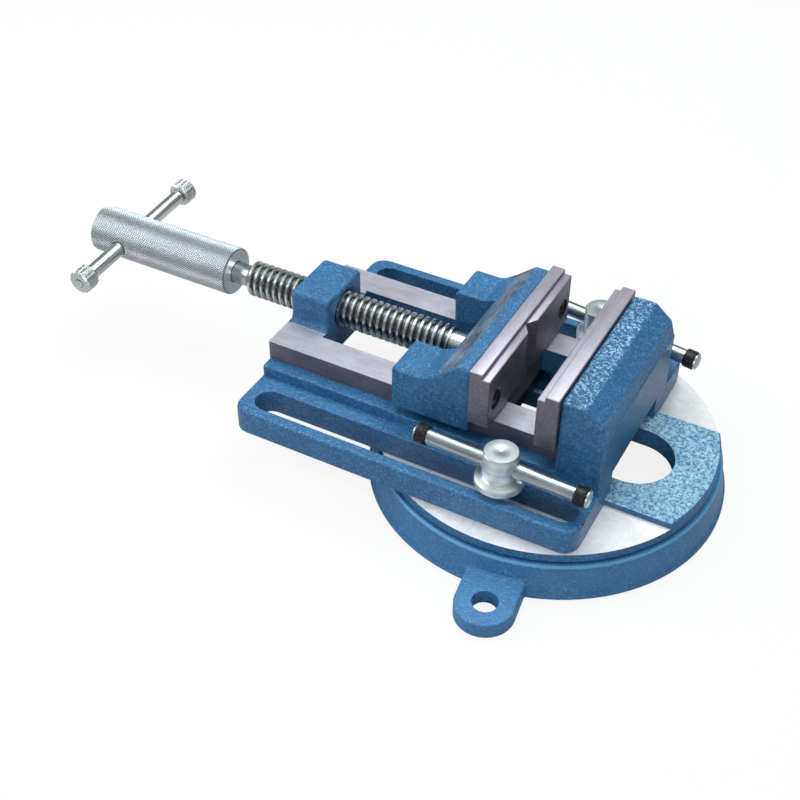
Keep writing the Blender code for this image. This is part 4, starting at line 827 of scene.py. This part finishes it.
class VISE_OT_vise_body(bpy.types.Operator):
    """Make the vise body with rounded cast edges and machined rails"""

    bl_idname = "vise.vise_body"
    bl_label = "Vise Body"

    def execute(self, context):
        left = BODY[0].x
        right = BODY[1].x
        steps = ((left, left + CASTING_STEP), (right, right - CASTING_STEP))
        item = casting_copy("vise_body", "body_casting", steps)
        finishes = [FINISHES["enamel"], FINISHES["rail"], FINISHES["shaded_machined_iron"], FINISHES["enamel_top"]]
        paint_faces(item, finishes, self.finish_of)
        weigh_edges(item, self.edge_weight)
        round_weighted(item, context.scene.vise_sizes.cast_round)
        smooth_casting(item)
        dress(item, "vise", ["vise_body"])
        return {"FINISHED"}

    def finish_of(self, centre, normal):
        """The rails' tops and outer sides are machined; the outer sides and the rails' ends take a darker
        copy of the machined iron as painted shade.
        """
        across = abs(centre.y)
        in_front = centre.x < SWIVEL_X + FIXED_JAW_FRONT
        foot = 0.0290
        if normal.z > 0.9 and abs(centre.z - RAIL_TOP) < GAP and in_front:
            return 1
        # painted shade: the rails' outer sides and ends take the darker copy of the machined iron
        if abs(normal.y) > 0.9 and abs(across - RAIL_OUTSIDE) < GAP and centre.z > LEDGE_TOP and in_front:
            return 2
        if normal.x < -0.9 and LEDGE_TOP < centre.z < RAIL_TOP and across > RAIL_INSIDE:
            return 2
        if normal.z < -0.9 and centre.z < foot:
            return 1
        # painted glints: the fixed jaw's top faces take the enamel with brighter crests
        if normal.z > 0.9 and centre.z > JAW_TOP and centre.x > SWIVEL_X:
            return 3
        return 0

    def edge_weight(self, middle, edge, convex):
        """Round the boss, the flanges and the ledges, and break the rails' edges."""
        across = abs(middle.y)
        along = middle.x - SWIVEL_X
        fixed_face, jaw_side, foot, ledge_edge = 0.0095, 0.0120, 0.0300, 0.0440
        slot_half, slot_left, slot_right = 0.0080, -0.1400, 0.0430
        if not convex:
            return 0.0
        if middle.z > RAIL_TOP + GAP:
            return 1.0 if along < 0 and edge.calc_length() > SHORT_EDGE else 0.0
        if LEDGE_TOP < middle.z and RAIL_INSIDE < across < RAIL_OUTSIDE + GAP and along < fixed_face:
            return 0.12
        if across < RAIL_OUTSIDE + GAP or middle.z < foot:
            return 0.0
        if along > jaw_side and middle.z > FLANGE_TOP:
            return 0.0
        in_slot = abs(across - CLAMP_OFFSET) < slot_half and slot_left < along < slot_right
        return 0.35 if in_slot and middle.z < ledge_edge else 0.75


class VISE_OT_moving_jaw(bpy.types.Operator):
    """Make the moving jaw with rounded cast edges and its brushed slope"""

    bl_idname = "vise.moving_jaw"
    bl_label = "Moving Jaw"

    def execute(self, context):
        item = casting_copy("moving_jaw", "jaw_casting")
        paint_faces(item, [FINISHES["enamel"], FINISHES["slope"], FINISHES["shaded_machined_iron"]], self.finish_of)
        weigh_edges(item, self.edge_weight)
        round_weighted(item, context.scene.vise_sizes.cast_round)
        smooth_casting(item)
        dress(item, "jaw", ["moving_jaw"])
        return {"FINISHED"}

    def finish_of(self, centre, normal):
        """The slope is brushed, and the saddle and tongue are machined and take a darker copy of the
        machined iron as painted shade under the jaw.
        """
        if normal.z > 0.3 and normal.x < -0.3 and centre.z > SLOPE_FOOT:
            return 1
        # painted shade: the saddle and tongue take the darker copy of the machined iron
        if centre.z < SADDLE_TOP and abs(centre.y) < SADDLE_HALF:
            return 2
        return 0

    def edge_weight(self, middle, edge, convex):
        """Round the wings and the outer edges; the saddle, the tongue and the plate's seat stay crisp."""
        along = middle.x - SWIVEL_X
        plate_seat, lower_edge, between_wings = -0.0262, 0.0455, 0.0200
        if not convex or (abs(middle.y) < SADDLE_HALF and middle.z < SADDLE_TOP + GAP):
            return 0.0
        if along > plate_seat or middle.z < lower_edge or edge.calc_length() <= END_EDGE:
            return 0.0
        return 0.2 if abs(middle.y) < between_wings else 1.0


class VISE_OT_jaw_plates(bpy.types.Operator):
    """Give the jaw plates and their screws their finishes"""

    bl_idname = "vise.jaw_plates"
    bl_label = "Jaw Plates"

    def execute(self, context):
        for node, body in (("moving_jaw_plate", "jaw"), ("fixed_jaw_plate", "vise")):
            item = casting_copy(node, node.replace("jaw_plate", "plate_ground"))
            finishes = [FINISHES["plate_darker_faces"], FINISHES["plate"], FINISHES["dark"]]
            paint_faces(item, finishes, self.finish_of)
            round_edges(item, context.scene.vise_sizes.tool_break, 2, 28)
            smooth(item, 28)
            dress(item, body, [node])
        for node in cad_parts:
            if "_screw_" in node or node.startswith("retaining_pin") or node.startswith("clamp_nut"):
                self.finish(node, "dark")
        self.finish("keeper_plate", "dark")
        return {"FINISHED"}

    def finish_of(self, centre, normal):
        """The upper edges are ground bright, the ends and faces darker, and the countersinks take the black
        of the screws as painted shade.
        """
        low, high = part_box("moving_plate_screw_near")
        rise = centre.z - (low.z + high.z) / 2
        across = abs(centre.y) + (low.y + high.y) / 2
        # painted shade: the countersinks round the screws take the dark steel
        if abs(normal.x) < 0.99 and math.hypot(rise, across) < COUNTERSINK_RADIUS:
            return 2
        return 1 if normal.z > 0.5 else 0

    def finish(self, node, finish):
        """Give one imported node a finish."""
        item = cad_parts[node]
        item.data.materials.clear()
        item.data.materials.append(FINISHES[finish])


class VISE_OT_lead_screw(bpy.types.Operator):
    """Make the lead screw with its trapezoidal thread"""

    bl_idname = "vise.lead_screw"
    bl_label = "Lead Screw"

    def execute(self, context):
        sizes = context.scene.vise_sizes
        right = SCREW[1].x
        left = SCREW[0].x
        radius = (SCREW[1].z - SCREW[0].z) / 2
        start = SWIVEL_X + THREAD_START - right
        end = SWIVEL_X + THREAD_END - right
        root = radius - sizes.thread_depth
        core_radius = root + 0.0002
        shoulder, journal, groove, nose = 0.0070, 0.0078, 0.0058, 0.0063
        groove_start, groove_end, nose_start = -0.0086, -0.0044, -0.0015
        outline = [
            (NECK_RADIUS, left - right),
            (NECK_RADIUS, start - 0.0030),
            (shoulder, start - 0.0006),
            (core_radius, start + 0.0004),
            (core_radius, end),
            (journal, end + 0.0004),
            (journal, groove_start),
            (groove, groove_start),
            (groove, groove_end),
            (journal, groove_end),
            (journal, nose_start),
            (nose, 0.0),
        ]
        core = turn_up("screw_core", outline, 64)
        thread = self.thread(radius, root, sizes.thread_pitch, end - start)
        settle(thread, Matrix.Translation((0, 0, start)))
        combine(core, thread, "UNION")
        settle(core, along_x((right, 0, SCREW_Z)))
        core.name = "screw_thread"
        smooth(core, 25)
        dress(core, "screw", ["lead_screw"], FINISHES["thread"])
        return {"FINISHED"}

    def thread(self, radius, root, pitch, length):
        """A solid trapezoidal thread along Z, cut square at both ends."""
        bpy.ops.object.select_all(action="DESELECT")
        bpy.ops.mesh.primitive_plane_add(size=0.001)
        item = bpy.context.object
        item.name = "thread"
        foot = root + 0.0002
        brink = radius - 0.00015
        profile = [
            (root, 0.0),
            (root, 0.30),
            (foot, 0.335),
            (brink, 0.465),
            (radius, 0.50),
            (radius, 0.80),
            (brink, 0.835),
            (foot, 0.965),
            (root, 1.0),
        ]
        bpy.ops.object.mode_set(mode="EDIT")
        pick("VERT", lambda vertex: vertex.co.x + vertex.co.y > 0)
        bpy.ops.mesh.select_all(action="INVERT")
        bpy.ops.mesh.delete(type="VERT")
        bpy.ops.mesh.select_all(action="SELECT")
        shape = bmesh.from_edit_mesh(item.data)
        shape.verts.ensure_lookup_table()
        here = shape.verts[0].co.copy()
        bpy.ops.transform.translate(value=Vector((root, 0, 0)) - here)
        before = Vector((root, 0, 0))
        for across, share in profile[1:]:
            point = Vector((across, 0, share * pitch))
            bpy.ops.mesh.extrude_region_move(TRANSFORM_OT_translate={"value": point - before})
            before = point
        bpy.ops.object.mode_set(mode="OBJECT")
        turns = math.ceil(length / pitch) + 2
        weld = 0.00001
        screw = item.modifiers.new("Helix", "SCREW")
        screw.axis = "Z"
        screw.steps = 48
        screw.render_steps = 48
        screw.screw_offset = pitch
        screw.iterations = turns
        screw.use_merge_vertices = True
        screw.merge_threshold = weld
        apply(item, screw)
        settle(item, Matrix.Translation((0, 0, -pitch)))
        bpy.ops.object.mode_set(mode="EDIT")
        bpy.ops.mesh.select_all(action="SELECT")
        bpy.ops.mesh.remove_doubles(threshold=weld)
        bpy.ops.mesh.bisect(plane_co=(0, 0, 0), plane_no=(0, 0, 1), use_fill=True, clear_inner=True)
        bpy.ops.mesh.select_all(action="SELECT")
        bpy.ops.mesh.bisect(plane_co=(0, 0, length), plane_no=(0, 0, 1), use_fill=True, clear_outer=True)
        bpy.ops.mesh.select_all(action="SELECT")
        bpy.ops.mesh.normals_make_consistent(inside=False)
        bpy.ops.object.mode_set(mode="OBJECT")
        return item


def tommy_line():
    """The middle and the heading of the tommy bar."""
    low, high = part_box("tommy_bar")
    tilt = math.radians(TOMMY_TILT)
    return Vector(((low.x + high.x) / 2, 0, SCREW_Z)), Vector((0, math.cos(tilt), math.sin(tilt)))


class VISE_OT_handle_sleeve(bpy.types.Operator):
    """Make the handle sleeve with its diamond knurl and its cross bore"""

    bl_idname = "vise.handle_sleeve"
    bl_label = "Handle Sleeve"

    def execute(self, context):
        sizes = context.scene.vise_sizes
        low, high = SLEEVE
        radius = (high.z - low.z) / 2
        row = sizes.knurl_row
        rows = int((high.x - low.x) / row / 2) * 2 - 2
        around = int(math.tau * radius / row / 2) * 2
        item = knurled_bar("sleeve_knurl", radius, sizes.knurl_depth, around, row, rows)
        length = rows * row
        settle(item, along_x(((low.x + high.x - length) / 2, 0, SCREW_Z)))
        middle, heading = tommy_line()
        reach = heading * 0.0200
        bore = 0.0044
        combine(item, rod("cross_bore", middle - reach, middle + reach, bore, 40))
        end = Vector((high.x + 0.0010, 0, SCREW_Z))
        depth = Vector((0.0465, 0, 0))
        combine(item, rod("neck_bore", end - depth, end, NECK_RADIUS + GAP, 48))
        item.name = "sleeve_knurl"
        dress(item, "screw", ["handle_sleeve"], FINISHES["knurl"])
        return {"FINISHED"}


class VISE_OT_tommy_bar(bpy.types.Operator):
    """Make the tommy bar and its two knurled knobs"""

    bl_idname = "vise.tommy_bar"
    bl_label = "Tommy Bar"

    def execute(self, context):
        sizes = context.scene.vise_sizes
        middle, heading = tommy_line()
        turn = facing(heading)
        near, far = 0.0482, 0.0544
        radius, shoulder, rivet, rivet_end = 0.0041, 0.0037, 0.0024, 0.0017
        near_side = -near + KNOB_LENGTH
        far_side = far - KNOB_LENGTH
        outline = [
            (rivet_end, -near - 0.0006),
            (rivet, -near - 0.0002),
            (rivet, near_side + 0.0002),
            (shoulder, near_side + 0.0003),
            (radius, near_side + 0.0007),
            (radius, far_side - 0.0007),
            (shoulder, far_side - 0.0003),
            (rivet, far_side - 0.0002),
            (rivet, far + 0.0002),
            (rivet_end, far + 0.0006),
        ]
        item = turn_up("bar_of_handle", outline, 48)
        settle(item, Matrix.Translation(middle) @ turn)
        smooth(item)
        dress(item, "tommy", ["tommy_bar"], FINISHES["tommy"])
        for side, reach, word in ((-1, near, "near"), (1, far, "far")):
            piece = self.knob(sizes)
            settle(piece, Matrix.Translation(middle + heading * side * (reach - KNOB_LENGTH / 2)) @ turn)
            piece.name = f"knob_{word}"
            smooth(piece, 20)
            dress(piece, "tommy", [f"tommy_knob_{word}"], FINISHES["knob"])
        return {"FINISHED"}

    def knob(self, sizes):
        """A knurled band on a smooth core, bored for the bar's riveted end."""
        band = 0.0076
        row = sizes.knurl_row
        rows = int(band / row / 2) * 2
        around = int(math.tau * KNOB_RADIUS / row / 2) * 2
        piece = knurled_bar("knob", KNOB_RADIUS, sizes.knurl_depth * 0.8, around, row, rows)
        settle(piece, Matrix.Translation((0, 0, -rows * row / 2)))
        half = KNOB_LENGTH / 2
        chamfer = 0.0005
        core, core_end, rivet_bore = 0.0064, 0.0058, 0.0027
        outline = [(core_end, -half), (core, -half + chamfer), (core, half - chamfer), (core_end, half)]
        combine(piece, turn_up("knob_core", outline, 48), "UNION")
        combine(piece, rod("rivet_bore", (0, 0, -BORE_REACH), (0, 0, BORE_REACH), rivet_bore, 32))
        return piece


class VISE_OT_clamp_bolts(bpy.types.Operator):
    """Make the two clamp bolts"""

    bl_idname = "vise.clamp_bolts"
    bl_label = "Clamp Bolts"

    def execute(self, context):
        shank, foot, collar, neck, head = 0.0050, 0.0095, 0.0122, 0.0080, 0.0088
        foot_low, collar_low, collar_top, neck_top = 0.0391, 0.0419, 0.0459, 0.0480
        reach = 0.0125
        for word, (side, angle, _) in CLAMPS.items():
            low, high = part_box(f"clamp_bolt_{word}")
            outline = [
                (shank - 0.0006, low.z),
                (shank, low.z + 0.0006),
                (shank, foot_low),
                (foot - 0.0002, foot_low),
                (foot, foot_low + 0.0002),
                (foot, collar_low - 0.0001),
                (collar - 0.0006, collar_low),
                (collar, collar_low + 0.0004),
                (collar, collar_top - 0.0006),
                (collar - 0.0007, collar_top),
                (neck + 0.0006, collar_top + 0.0002),
                (neck, collar_top + 0.0007),
                (neck, neck_top),
                (head - 0.0002, neck_top + 0.0003),
                (head, neck_top + 0.0008),
                (head, high.z - 0.0007),
                (head - 0.0006, high.z - 0.0001),
                (0.0060, high.z),
                (0.0014, high.z - 0.0001),
                (0.0005, high.z - 0.0005),
            ]
            item = turn_up(f"bolt_{word}", outline, 96)
            centre = Vector((SWIVEL_X, side * CLAMP_OFFSET, 0))
            settle(item, Matrix.Translation(centre))
            middle = centre + Vector((0, 0, CLAMP_BAR_HEIGHT))
            heading = slanted(angle) * reach
            combine(item, rod("bar_bore", middle - heading, middle + heading, CLAMP_BAR_RADIUS + GAP, 40))
            item.name = f"bolt_{word}"
            smooth(item)
            dress(item, f"{word}_clamp", [f"clamp_bolt_{word}"], FINISHES["bolt"])
        return {"FINISHED"}


class VISE_OT_clamp_bars(bpy.types.Operator):
    """Make the clamp bars with their domed ends and knurled caps"""

    bl_idname = "vise.clamp_bars"
    bl_label = "Clamp Bars"

    def execute(self, context):
        half = CLAMP_BAR_HALF
        lip = half - CLAMP_END_LENGTH
        radius = CLAMP_BAR_RADIUS
        end_radius, dome, face = 0.0045, 0.0034, 0.0018
        outline = [
            (face, -half),
            (dome, -half + 0.0003),
            (end_radius - 0.0002, -half + 0.0008),
            (end_radius, -lip),
            (radius, -lip),
            (radius, lip),
            (end_radius, lip),
            (end_radius - 0.0002, half - 0.0008),
            (dome, half - 0.0003),
            (face, half),
        ]
        for word, (side, angle, shift) in CLAMPS.items():
            heading = slanted(angle)
            turn = facing(heading)
            centre = Vector((SWIVEL_X, side * CLAMP_OFFSET, CLAMP_BAR_HEIGHT)) + heading * shift
            item = turn_up(f"bar_{word}", outline, 48)
            settle(item, Matrix.Translation(centre) @ turn)
            smooth(item)
            dress(item, f"{word}_clamp_bar", [f"clamp_bar_{word}"], FINISHES["bar"])
            for way, place in ((-1, "left"), (1, "right")):
                cap = self.cap(f"cap_{word}_{place}")
                settle(cap, Matrix.Translation(centre + heading * way * (lip - GAP - CAP_HALF)) @ turn)
                node = f"clamp_cap_{word}_{place}"
                dress(cap, f"{word}_clamp_bar", [node], FINISHES["black"])
        return {"FINISHED"}

    def cap(self, name):
        """A short collar with two rows of knurling beside a groove."""
        crest, core, chamfer = 0.0050, 0.0049, 0.0003
        row, depth, band = 0.00044, 0.00025, 0.0015
        outline = [
            (core - chamfer, -CAP_HALF),
            (core, -CAP_HALF + chamfer),
            (core, CAP_HALF - chamfer),
            (core - chamfer, CAP_HALF),
        ]
        item = turn_up(name, outline, 60)
        for level in (-band, band):
            ring = knurled_bar("cap_row", crest, depth, 60, row, 4)
            settle(ring, Matrix.Translation((0, 0, level - 2 * row)))
            combine(item, ring, "UNION")
        combine(item, rod("cap_bore", (0, 0, -BORE_REACH), (0, 0, BORE_REACH), CLAMP_BAR_RADIUS + GAP, 40))
        item.name = name
        return smooth(item, 20)


# The stage


class VISE_OT_stage(bpy.types.Operator):
    """Make the floor, the soft lights, the pale world and the camera"""

    bl_idname = "vise.stage"
    bl_label = "Stage"

    def execute(self, context):
        scene = context.scene
        scene.view_settings.view_transform = "Standard"
        self.floor()
        self.world(scene)
        self.lights()
        self.camera(scene)
        return {"FINISHED"}

    def floor(self):
        """A white floor that keeps a faint shadow."""
        bpy.ops.object.select_all(action="DESELECT")
        bpy.ops.mesh.primitive_plane_add(size=8, location=(0, 0, -0.0002))
        floor = bpy.context.object
        floor.name = "floor"
        settle(floor)
        finish = Finish("white_floor")
        path = finish.node("ShaderNodeLightPath", {}, {})
        albedo = finish.mix(path["Is Camera Ray"], (0.50, 0.50, 0.50), (0.80, 0.80, 0.80))
        finish.principled(Base_Color=albedo, Roughness=1.0, Specular_IOR_Level=0.0)
        glow = finish.node("ShaderNodeEmission", {}, {"Color": (1.0, 1.0, 1.0, 1.0), "Strength": 1.0})
        seen = path["Is Camera Ray"].math("MAXIMUM", path["Is Camera Ray"], path["Is Transmission Ray"])
        sockets = {0: seen * 0.86, 1: Wire(finish, finish.shader.outputs[0]), 2: glow["Emission"]}
        blend = finish.node("ShaderNodeMixShader", {}, sockets)
        finish.plug(finish.output.inputs["Surface"], blend["Shader"])
        floor.data.materials.append(finish.material)

    def world(self, scene):
        """A white room, dimmer towards the floor."""
        world = bpy.data.worlds.new("white_room")
        scene.world = world
        world.use_nodes = True
        tree = world.node_tree
        tree.nodes.clear()
        path = tree.nodes.new("ShaderNodeLightPath")
        place = tree.nodes.new("ShaderNodeTexCoord")
        split = tree.nodes.new("ShaderNodeSeparateXYZ")
        ramp = tree.nodes.new("ShaderNodeValToRGB")
        room = tree.nodes.new("ShaderNodeBackground")
        white = tree.nodes.new("ShaderNodeBackground")
        mix = tree.nodes.new("ShaderNodeMixShader")
        output = tree.nodes.new("ShaderNodeOutputWorld")
        half = tree.nodes.new("ShaderNodeMath")
        half.operation = "MULTIPLY_ADD"
        half.inputs[1].default_value = 0.5
        half.inputs[2].default_value = 0.5
        tree.links.new(place.outputs["Generated"], split.inputs[0])
        tree.links.new(split.outputs["Z"], half.inputs[0])
        tree.links.new(half.outputs[0], ramp.inputs[0])
        stops = ramp.color_ramp.elements
        stops[0].position = 0.50
        stops[0].color = (0.30, 0.28, 0.29, 1.0)
        stops[1].position = 0.99
        stops[1].color = (0.92, 0.98, 1.0, 1.0)
        haze = stops.new(0.80)
        haze.color = (0.26, 0.26, 0.27, 1.0)
        tree.links.new(ramp.outputs["Color"], room.inputs["Color"])
        room.inputs["Strength"].default_value = 0.75
        white.inputs["Strength"].default_value = 1.0
        tree.links.new(path.outputs["Is Camera Ray"], mix.inputs[0])
        tree.links.new(room.outputs[0], mix.inputs[1])
        tree.links.new(white.outputs[0], mix.inputs[2])
        tree.links.new(mix.outputs[0], output.inputs[0])

    def lights(self):
        """A wide overhead softbox, a side fill and a low front fill."""
        boxes = (
            ("top_softbox", (0.05, 0.25, 1.10), 0.90, 10.5, (0.92, 1.0, 1.0)),
            ("left_softbox", (-0.95, -0.35, 0.75), 0.70, 6.0, (1.0, 0.97, 1.0)),
            ("front_softbox", (0.35, -1.20, 0.45), 0.60, 4.2, (1.0, 0.90, 0.92)),
        )
        for name, place, size, power, colour in boxes:
            lamp = bpy.data.lights.new(name, "AREA")
            lamp.shape = "SQUARE"
            lamp.size = size
            lamp.energy = power
            lamp.color = colour
            item = bpy.data.objects.new(name, lamp)
            bpy.context.scene.collection.objects.link(item)
            aim = (Vector((0.0, 0.0, 0.04)) - Vector(place)).to_track_quat("-Z", "Y")
            item.matrix_world = Matrix.Translation(place) @ aim.to_matrix().to_4x4()

    def camera(self, scene):
        """The camera at the photograph's angle, fitted to the vise's edges."""
        lens = bpy.data.cameras.new("studio_camera")
        lens.sensor_width = CAMERA_SENSOR
        lens.lens = CAMERA_LENS
        lens.shift_x, lens.shift_y = CAMERA_SHIFT
        lens.clip_start = 0.01
        lens.clip_end = 20.0
        item = bpy.data.objects.new("studio_camera", lens)
        scene.collection.objects.link(item)
        turn = Matrix((CAMERA_RIGHT, CAMERA_UP, CAMERA_BACK)).transposed().to_4x4()
        item.matrix_world = Matrix.Translation(CAMERA_PLACE) @ turn
        scene.camera = item


OPERATORS = (
    VISE_OT_base_ring,
    VISE_OT_turntable,
    VISE_OT_vise_body,
    VISE_OT_moving_jaw,
    VISE_OT_jaw_plates,
    VISE_OT_lead_screw,
    VISE_OT_handle_sleeve,
    VISE_OT_tommy_bar,
    VISE_OT_clamp_bolts,
    VISE_OT_clamp_bars,
    VISE_OT_stage,
)


class VISE_PT_panel(bpy.types.Panel):
    """The vise's operators and settings."""

    bl_label = "Drill Press Vise"
    bl_idname = "VISE_PT_panel"
    bl_space_type = "VIEW_3D"
    bl_region_type = "UI"
    bl_category = "Vise"

    def draw(self, context):
        layout = self.layout
        for operator in OPERATORS:
            layout.operator(operator.bl_idname)
        for group in (context.scene.vise_sizes, context.scene.vise_colours):
            box = layout.box()
            for name in group.__annotations__:
                box.prop(group, name)


CLASSES = (ViseColours, ViseSizes, *OPERATORS, VISE_PT_panel)


def register():
    for each in CLASSES:
        bpy.utils.register_class(each)
    bpy.types.Scene.vise_colours = bpy.props.PointerProperty(type=ViseColours)
    bpy.types.Scene.vise_sizes = bpy.props.PointerProperty(type=ViseSizes)


def unregister():
    del bpy.types.Scene.vise_sizes
    del bpy.types.Scene.vise_colours
    for each in reversed(CLASSES):
        bpy.utils.unregister_class(each)


def main():
    """Dress the vise piece by piece, then set the stage."""
    register()
    make_finishes()
    for operator in OPERATORS:
        group, name = operator.bl_idname.split(".")
        getattr(getattr(bpy.ops, group), name)()


if __name__ == "__main__":
    main()
